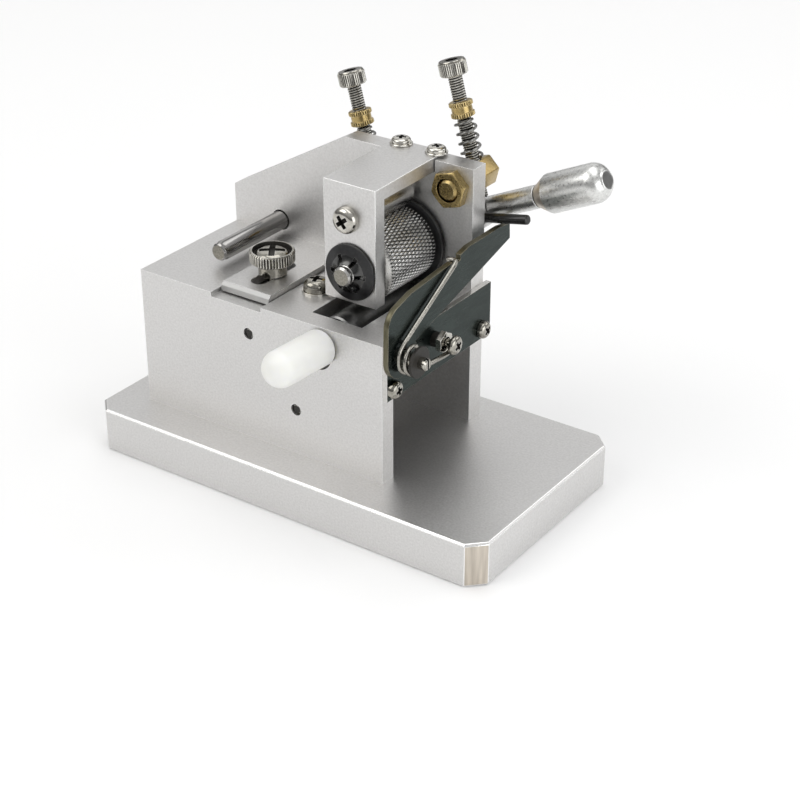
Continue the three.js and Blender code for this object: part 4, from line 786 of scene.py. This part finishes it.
def makeThumbscrew():
    low, high, r = thumb["rimLow"], thumb["rimHigh"], thumb["head"]
    rows = [
        (thumb["shank"], thumb["shankEnd"]), (thumb["shank"], 0.0), (thumb["neck"], 0.0),
        (thumb["neck"], low), (r - 0.5, low), (r, low + 0.35), (r, high - 0.3), (r - 0.3, high),
        (r * 0.88, high), (r * 0.84, high - 0.9), (r * 0.75, high - 0.9), (r * 0.72, high - 0.62),
        (r * 0.63, high - 0.28), (r * 0.48, high - 0.08), (r * 0.2, high - 0.01),
    ]

    bm = bmesh.new()
    addRibbed(bm, rows, (5, 6), thumb)
    place = alongZ(thumb["x"], thumb["y"], thumb["z"])
    move(bm, place)

    def inShadow(centre, normal):  # the ring round the button and the valleys between the ribs
        height, reach = centre.z - thumb["z"], hypot(centre.x - thumb["x"], centre.y - thumb["y"])
        return (height > high - 1 and r * 0.72 < reach < r * 0.86) or (
            low + 0.3 < height < high - 0.4 and r - 1 < reach < r - thumb["ribDepth"] * 0.55)
    piece = finishPiece(bm, "thumbscrew", "oldNickel", 30, [dict(finish="recessShadow", where=inShadow)])
    recess = (r * thumb["crossLength"], thumb["cross"], thumb["crossDepth"])
    makeTools = crossTools(place, high, recess, radians(thumb["crossTurn"]), thumb["taper"])
    cutAway(piece, makeTools, "recessShadow")


makeThumbscrew()
print("thumbscrew made")

# Stops: threaded screw, knurled insert, spring and post on one slanted axis

stop = dict(tilt=radians(15.8), y=22.75, rightX=15.12, rightZ=60.02, spacing=25.32)
thread = dict(radius=1.45, low=-4.85, pitch=0.5, depth=0.26, around=28, crests=(0, 0.85, 1, 0.85))
stopHead = dict(radius=2.8, height=3.0, top=23.14, ribs=42, ribDepth=0.12, ribSlope=1.6,
                socket=1.5, socketDepth=1.6)
insert = dict(radius=2.4, length=3.1, top=14.9, bore=1.5, band=0.8, edge=0.14, waist=0.3,
              ribs=30, ribDepth=0.15, ribSlope=1.7)
stopSpring = dict(wire=0.58, coil=2.0, turns=4, perTurn=20)
post = dict(size=5.8, length=7.8, edge=0.3, edgeSteps=3, hole=1.7, holeSides=32, holeLength=12)
postStud = [(0, 12.1), (1.65, 12.1), (2.2, 12.65), (2.2, 18.9), (0, 18.9)]
seatGap = 0.3  # between a spring's wire and what it bears on


def seatedPiece(bm, node, seat, finish, sharpAngle, shadow, inShadow):
    # inShadow takes a face's height along the seat's axis and its distance from it.
    move(bm, seat)
    back = seat.inverted()

    def where(centre, normal):
        spot = back @ centre
        return inShadow(spot.z, hypot(spot.x, spot.y))
    return finishPiece(bm, node, finish, sharpAngle, [dict(finish=shadow, where=where)])


def addThread(bm, high):
    low, pitch, depth = thread["low"], thread["pitch"], thread["depth"]
    rows = round((high - low) / pitch) * 4

    def shape(u, v):
        row = round(v * rows)
        crest = thread["crests"][row % 4]
        edge = 0 if row < 2 or row > rows - 2 else 1
        height = low + (high - low - pitch) * row / rows + pitch * u
        return thread["radius"] - depth * (1 - crest * edge), height

    wrapGrid(bm, thread["around"], rows, shape)


def makeStopScrew(side, seat):
    r, low, high = stopHead["radius"], stopHead["top"] - stopHead["height"], stopHead["top"]
    bm = bmesh.new()
    addThread(bm, low + 0.6)
    rows = ((r - 0.9, low), (r - 0.25, low), (r, low + 0.25), (r, high - 0.5), (r - 0.12, high - 0.35),
            (r - 0.14, high - 0.2), (r - 0.3, high), (r - 1.1, high))

    head = bmesh.new()
    addRibbed(head, rows, (2, 3), stopHead)
    addShape(bm, head)

    def inShadow(height, reach):  # the thread's valleys and those of the head's knurling
        if height < low - 0.1:
            return reach < thread["radius"] - thread["depth"] * 0.4
        return low + 0.3 < height < high - 0.5 and r - 0.5 < reach < r - 0.07
    piece = seatedPiece(bm, f"stop_screw_{side}", seat, "oldNickel", 40, "recessShadow", inShadow)

    def makeTools(tools):
        addPrism(tools, 6, stopHead["socket"], 2 * stopHead["socketDepth"], alongZ(0, 0, high))
        move(tools, seat)
    cutAway(piece, makeTools, "recessShadow")


def makeInsert(side, seat):
    low, high, r = insert["top"] - insert["length"], insert["top"], insert["radius"]
    edge, band, waist = insert["edge"], insert["band"], r - insert["waist"]
    rows = [(insert["bore"], low), (r - 0.2, low), (r, low + edge), (r, low + band), (r - 0.12, low + 0.92),
            (waist, low + 1.0), (waist, high - 1.0), (r - 0.12, high - 0.92), (r, high - band),
            (r, high - edge), (r - 0.2, high), (insert["bore"], high)]

    bm = bmesh.new()
    addRibbed(bm, rows, (2, 3, 8, 9), insert)

    def inShadow(height, reach):
        return edge < min(height - low, high - height) < band and r - 0.5 < reach < r - 0.08
    seatedPiece(bm, f"stop_insert_{side}", seat, "brass", 30, "brassShadow", inShadow)


roundWire = dict(sideSteps=3, alongSteps=3, order=3, same=1e-6)


def tube(node, points, radius, finish="springWire", bend=None):  # round wire through the points
    curve = bpy.data.curves.new(node + "_path", "CURVE")
    curve.dimensions = "3D"
    curve.bevel_depth = radius * metres
    curve.bevel_resolution = roundWire["sideSteps"]
    curve.use_fill_caps = True
    curve.resolution_u = roundWire["alongSteps"]
    line = curve.splines.new("NURBS")
    line.points.add(len(points) - 1)
    for spot, point in zip(line.points, points):
        spot.co = (*[v * metres for v in point], 1)
    line.use_endpoint_u = True
    line.order_u = roundWire["order"]
    carrier = addObject(node + "_carrier", curve)
    bpy.context.view_layer.update()
    depsgraph = bpy.context.evaluated_depsgraph_get()
    mesh = bpy.data.meshes.new_from_object(carrier.evaluated_get(depsgraph))
    bpy.data.objects.remove(carrier)
    bm = bmesh.new()
    bm.from_mesh(mesh)
    bpy.data.meshes.remove(mesh)
    bmesh.ops.remove_doubles(bm, verts=bm.verts, dist=roundWire["same"])
    bmesh.ops.recalc_face_normals(bm, faces=bm.faces)
    resize(bm, 1 / metres)
    finishPiece(bm, node, finish, 60, bend=bend)


def makeStopSpring(side, place):
    wire, coil = stopSpring["wire"], stopSpring["coil"]
    low = post["size"] / 2 + seatGap + wire / 2
    high = insert["top"] - insert["length"] - seatGap - wire / 2
    steps = stopSpring["turns"] * stopSpring["perTurn"]
    points = []
    for i in range(steps + 1):
        angle = i / stopSpring["perTurn"] * 2 * pi
        spot = Vector((coil * cos(angle), coil * sin(angle) + stop["y"], low + (high - low) * i / steps))
        points.append(place @ spot)
    tube(f"stop_spring_{side}", points, wire / 2, "darkWire")


def makePost(side, place, seat):  # a hexagon behind the rear plate with a round stud through it
    bm = bmesh.new()
    behind = alongZ(0, 0, rearFace + post["length"] / 2) @ Matrix.Rotation(pi / 6, 4, "Z")
    addPrism(bm, 6, post["size"] / sqrt(3), post["length"], behind)
    breakEdges(bm, bm.edges[:], post["edge"], post["edgeSteps"])
    through = bmesh.new()
    spinProfile(through, postStud, 56)
    addShape(bm, through)
    move(bm, place @ Matrix.Rotation(-pi / 2, 4, "X"))
    piece = finishPiece(bm, f"stop_post_{side}", "brass", 40)

    def makeTools(tools):
        addPrism(tools, post["holeSides"], post["hole"], post["holeLength"], seat)
    cutAway(piece, makeTools)


for side, reach in (("left", stop["spacing"]), ("right", 0)):
    x, z = stop["rightX"] - reach * cos(stop["tilt"]), stop["rightZ"] - reach * sin(stop["tilt"])
    place = Matrix.Translation((x, 0, z)) @ Matrix.Rotation(-stop["tilt"], 4, "Y")
    seat = place @ Matrix.Translation((0, stop["y"], 0))
    makeStopScrew(side, seat)
    makeInsert(side, seat)
    makeStopSpring(side, place)
    makePost(side, place, seat)
print("stops made")

# Springs of the blade, the lever and the release arm

bladeSpring = dict(wire=0.9, wide=0.98, coil=2.65, pitch=1.45, turns=1.25, coilSteps=30,
                   legAngle=radians(29.5), legSteps=8, x=23.4, hookY=4.1, hookZ=50.35, bladeX=21.4,
                   anchorX=24.7, anchorY=-0.4, anchorZ=35.0, anchorRadius=0.95)


def makeBladeSpring():  # hook in the blade's notch, long leg, coil on the stud, leg under the anchor screw
    b = bladeSpring
    half, r, x, hookY, hookZ = b["wire"] / 2, b["coil"], b["x"], b["hookY"], b["hookZ"]
    legY, legZ = hookY - 1.5 * b["wire"], hookZ - 0.45
    bendY = stud["y"] - r * 0.9
    bendZ = legZ - (legY - bendY) * tan(b["legAngle"])
    lowY, lowZ = bendY + 1.2, bendZ + 1.2 * tan(b["legAngle"])
    points = [
        (b["bladeX"] - 0.45, hookY, hookZ - 0.2), (b["bladeX"] - 0.1, hookY, hookZ),
        (x - 0.75, hookY, hookZ), (x - 0.35, hookY - 0.35, hookZ - 0.05), (x - 0.1, legY, legZ),
    ]
    for i in range(1, b["legSteps"]):
        part = i / b["legSteps"]
        points.append((x - 0.1 * (1 - part), legY + (lowY - legY) * part, legZ + (lowZ - legZ) * part))
    points += [(x, lowY, lowZ), (x, bendY + 0.3, bendZ - 0.15), (x, bendY - 0.2, bendZ - 0.9)]
    for i in range(b["coilSteps"] + 1):
        turn = b["turns"] * 2 * pi * i / b["coilSteps"]
        points.append((x + b["pitch"] * turn / (2 * pi), stud["y"] + r * cos(pi + turn),
                       stud["z"] + r * sin(pi + turn)))
    last = points[-1]
    under = b["anchorZ"] - b["anchorRadius"] - half - seatGap
    points += [
        (last[0] - 0.2, last[1] + 2.5, last[2] + 0.1), (b["anchorX"], b["anchorY"] - 2.4, under - 0.1),
        (b["anchorX"], b["anchorY"], under), (b["anchorX"], b["anchorY"] + 1.1, under + 0.5),
        (b["anchorX"], b["anchorY"] + 1.7, under + 1.5),
    ]
    turning = ("frame", "shear_arm", (0.0252, 0, 0), (0.0236, 0, 0))  # only keeps the spring where it is made, on no body
    tube("blade_spring", points, b["wide"] / 2, bend=turning)


makeBladeSpring()

returnSpring = dict(arm=11, y=24.9, lowPin=21.0, lowPinRadius=1.2, highPinRadius=1, wire=0.6, coil=2.1,
                    pitch=1.1, turns=10, perTurn=16, hookTurn=250, hookSteps=8, lowFrom=130, highFrom=-20)


def makeReturnSpring():  # a hook on the peg, the coil, a hook on the rocker's pin
    s = returnSpring
    x, y = roller["x"] - s["arm"] * cos(lever["angle"]), s["y"]
    lowPin, highPin = s["lowPin"], roller["z"] - s["arm"] * sin(lever["angle"])
    half, coil, pitch, perTurn = s["wire"] / 2, s["coil"], s["pitch"], s["perTurn"]

    def hook(pin, pinRadius, begin):
        reach = pinRadius + half + seatGap
        angles = [radians(begin + s["hookTurn"] / s["hookSteps"] * i) for i in range(s["hookSteps"] + 1)]
        return [(x + reach * cos(angle), y, pin + reach * sin(angle)) for angle in angles]

    coilLow = (lowPin + highPin - pitch * s["turns"]) / 2
    points = hook(lowPin, s["lowPinRadius"], s["lowFrom"])
    for i in range(s["turns"] * perTurn + 1):
        angle = i / perTurn * 2 * pi
        points.append((x + coil * cos(angle), y + coil * sin(angle), coilLow + pitch * i / perTurn))
    points += hook(highPin, s["highPinRadius"], s["highFrom"])
    stretch = ("frame", "lever", (x * metres, y * metres, 0.0225), (x * metres, y * metres, 0.0412))
    tube("return_spring", points, half, bend=stretch)


makeReturnSpring()

releaseSpring = dict(wire=0.7, coil=1.9, pitch=1.2, turns=3, steps=70, y=-2.0, leg=7.0,
                     x=-12.4, z=32.9, pinX=-1.0, pinZ=19.4, pin=1.0)


def makeReleaseSpring():  # one leg lifts the arm, the other bears on the anchor pin
    r = releaseSpring
    coil, across, down = r["coil"], r["pinX"] - r["x"], r["pinZ"] - r["z"]
    reach = hypot(across, down)
    leave = atan2(down, across) + acos((coil - r["pin"] - r["wire"] / 2 - seatGap) / reach)
    sweep = 2 * pi * r["turns"] + 1.5 * pi - leave
    points = [(r["x"] + r["leg"], r["y"], r["z"] - coil), (r["x"] + 1.0, r["y"], r["z"] - coil)]
    for i in range(r["steps"] + 1):
        turn = sweep * i / r["steps"]
        points.append((r["x"] + coil * cos(-pi / 2 - turn), r["y"] + r["pitch"] * turn / (2 * pi),
                       r["z"] + coil * sin(-pi / 2 - turn)))
    last = points[-1]
    points += [(last[0] + sin(leave) * part * reach, last[1], last[2] - cos(leave) * part * reach)
               for part in (0.1, 0.5, 1 + 1 / reach)]
    farEnd, nearEnd = last[1] - r["wire"] / 2, r["y"] + r["wire"] / 2
    turning = ("frame", "release", (0, farEnd * metres, 0), (0, nearEnd * metres, 0))
    tube("release_spring", points, r["wire"] / 2, bend=turning)


makeReleaseSpring()
print("springs made")

# Floor, lights, world and camera

floorLook = dict(halfSize=4, colour=(0.97, 0.97, 0.97, 1), roughness=0.7)


def makeFloor():
    bm = bmesh.new()
    bmesh.ops.create_grid(bm, x_segments=1, y_segments=1, size=floorLook["halfSize"])
    mesh = bpy.data.meshes.new("floor")
    bm.to_mesh(mesh)
    bm.free()
    floor = addObject("floor", mesh)
    material = bpy.data.materials.new("paleFloor")
    material.use_nodes = True
    shader = material.node_tree.nodes["Principled BSDF"]
    shader.inputs["Base Color"].default_value = floorLook["colour"]
    shader.inputs["Roughness"].default_value = floorLook["roughness"]
    mesh.materials.append(material)


studioAim = Vector((0, 0, 0.04))
studio = {
    "key": dict(at=(-0.45, -0.55, 0.75), size=(0.7, 0.7), power=3.2, colour=(1, 0.99, 0.97)),
    "top": dict(at=(0.05, 0.1, 0.95), size=(0.9, 0.6), power=2.6, colour=(1, 1, 1)),
    "right": dict(at=(0.85, -0.1, 0.24), size=(0.8, 0.5), power=2.6, colour=(0.98, 0.99, 1)),
    "rear": dict(at=(-0.6, 0.75, 0.5), size=(0.9, 0.7), power=0.75, colour=(1, 1, 1)),
    "farRight": dict(at=(0.5, 0.72, 0.46), size=(0.6, 0.5), power=1.2, colour=(1, 1, 1)),
}


def makeLights():
    for name, values in studio.items():
        light = bpy.data.lights.new(name, "AREA")
        light.shape = "RECTANGLE"
        light.size, light.size_y = values["size"]
        light.energy = values["power"]
        light.color = values["colour"]
        holder = addObject(name, light)
        holder.location = values["at"]
        aim = studioAim - Vector(values["at"])
        holder.rotation_euler = aim.to_track_quat("-Z", "Y").to_euler()


backdrop = dict(stops=((0.0, (0.34, 0.34, 0.34, 1)), (0.55, (1.1, 1.1, 1.1, 1))), strength=0.5)


def makeWorld():  # darker below, lighter above
    world = bpy.data.worlds.new("studio")
    world.use_nodes = True
    tree = world.node_tree
    back = tree.nodes["Background"]
    place = tree.nodes.new("ShaderNodeTexCoord")
    split = tree.nodes.new("ShaderNodeSeparateXYZ")
    tree.links.new(place.outputs["Generated"], split.inputs[0])
    ramp = tree.nodes.new("ShaderNodeValToRGB")
    for element, (position, colour) in zip(ramp.color_ramp.elements, backdrop["stops"]):
        element.position = position
        element.color = colour
    tree.links.new(split.outputs["Z"], ramp.inputs["Fac"])
    tree.links.new(ramp.outputs["Color"], back.inputs["Color"])
    back.inputs["Strength"].default_value = backdrop["strength"]
    bpy.context.scene.world = world


cameraView = dict(at=(0.20095, -0.26877, 0.19994), right=(0.8190, 0.5737, 0.0),
                  up=(-0.2774, 0.3961, 0.8753), back=(0.5022, -0.7169, 0.4836),
                  lens=84.38, sensor=36, clipStart=0.01)


def makeCamera():
    data = bpy.data.cameras.new("view")
    data.sensor_width = cameraView["sensor"]
    data.lens = cameraView["lens"]
    data.clip_start = cameraView["clipStart"]
    camera = addObject("view", data)
    turn = Matrix((cameraView["right"], cameraView["up"], cameraView["back"])).transposed()
    camera.matrix_world = Matrix.Translation(cameraView["at"]) @ turn.to_4x4()
    bpy.context.scene.camera = camera


makeFloor()
makeLights()
makeWorld()
makeCamera()
bpy.context.scene.view_settings.view_transform = "Standard"
print("studio made")
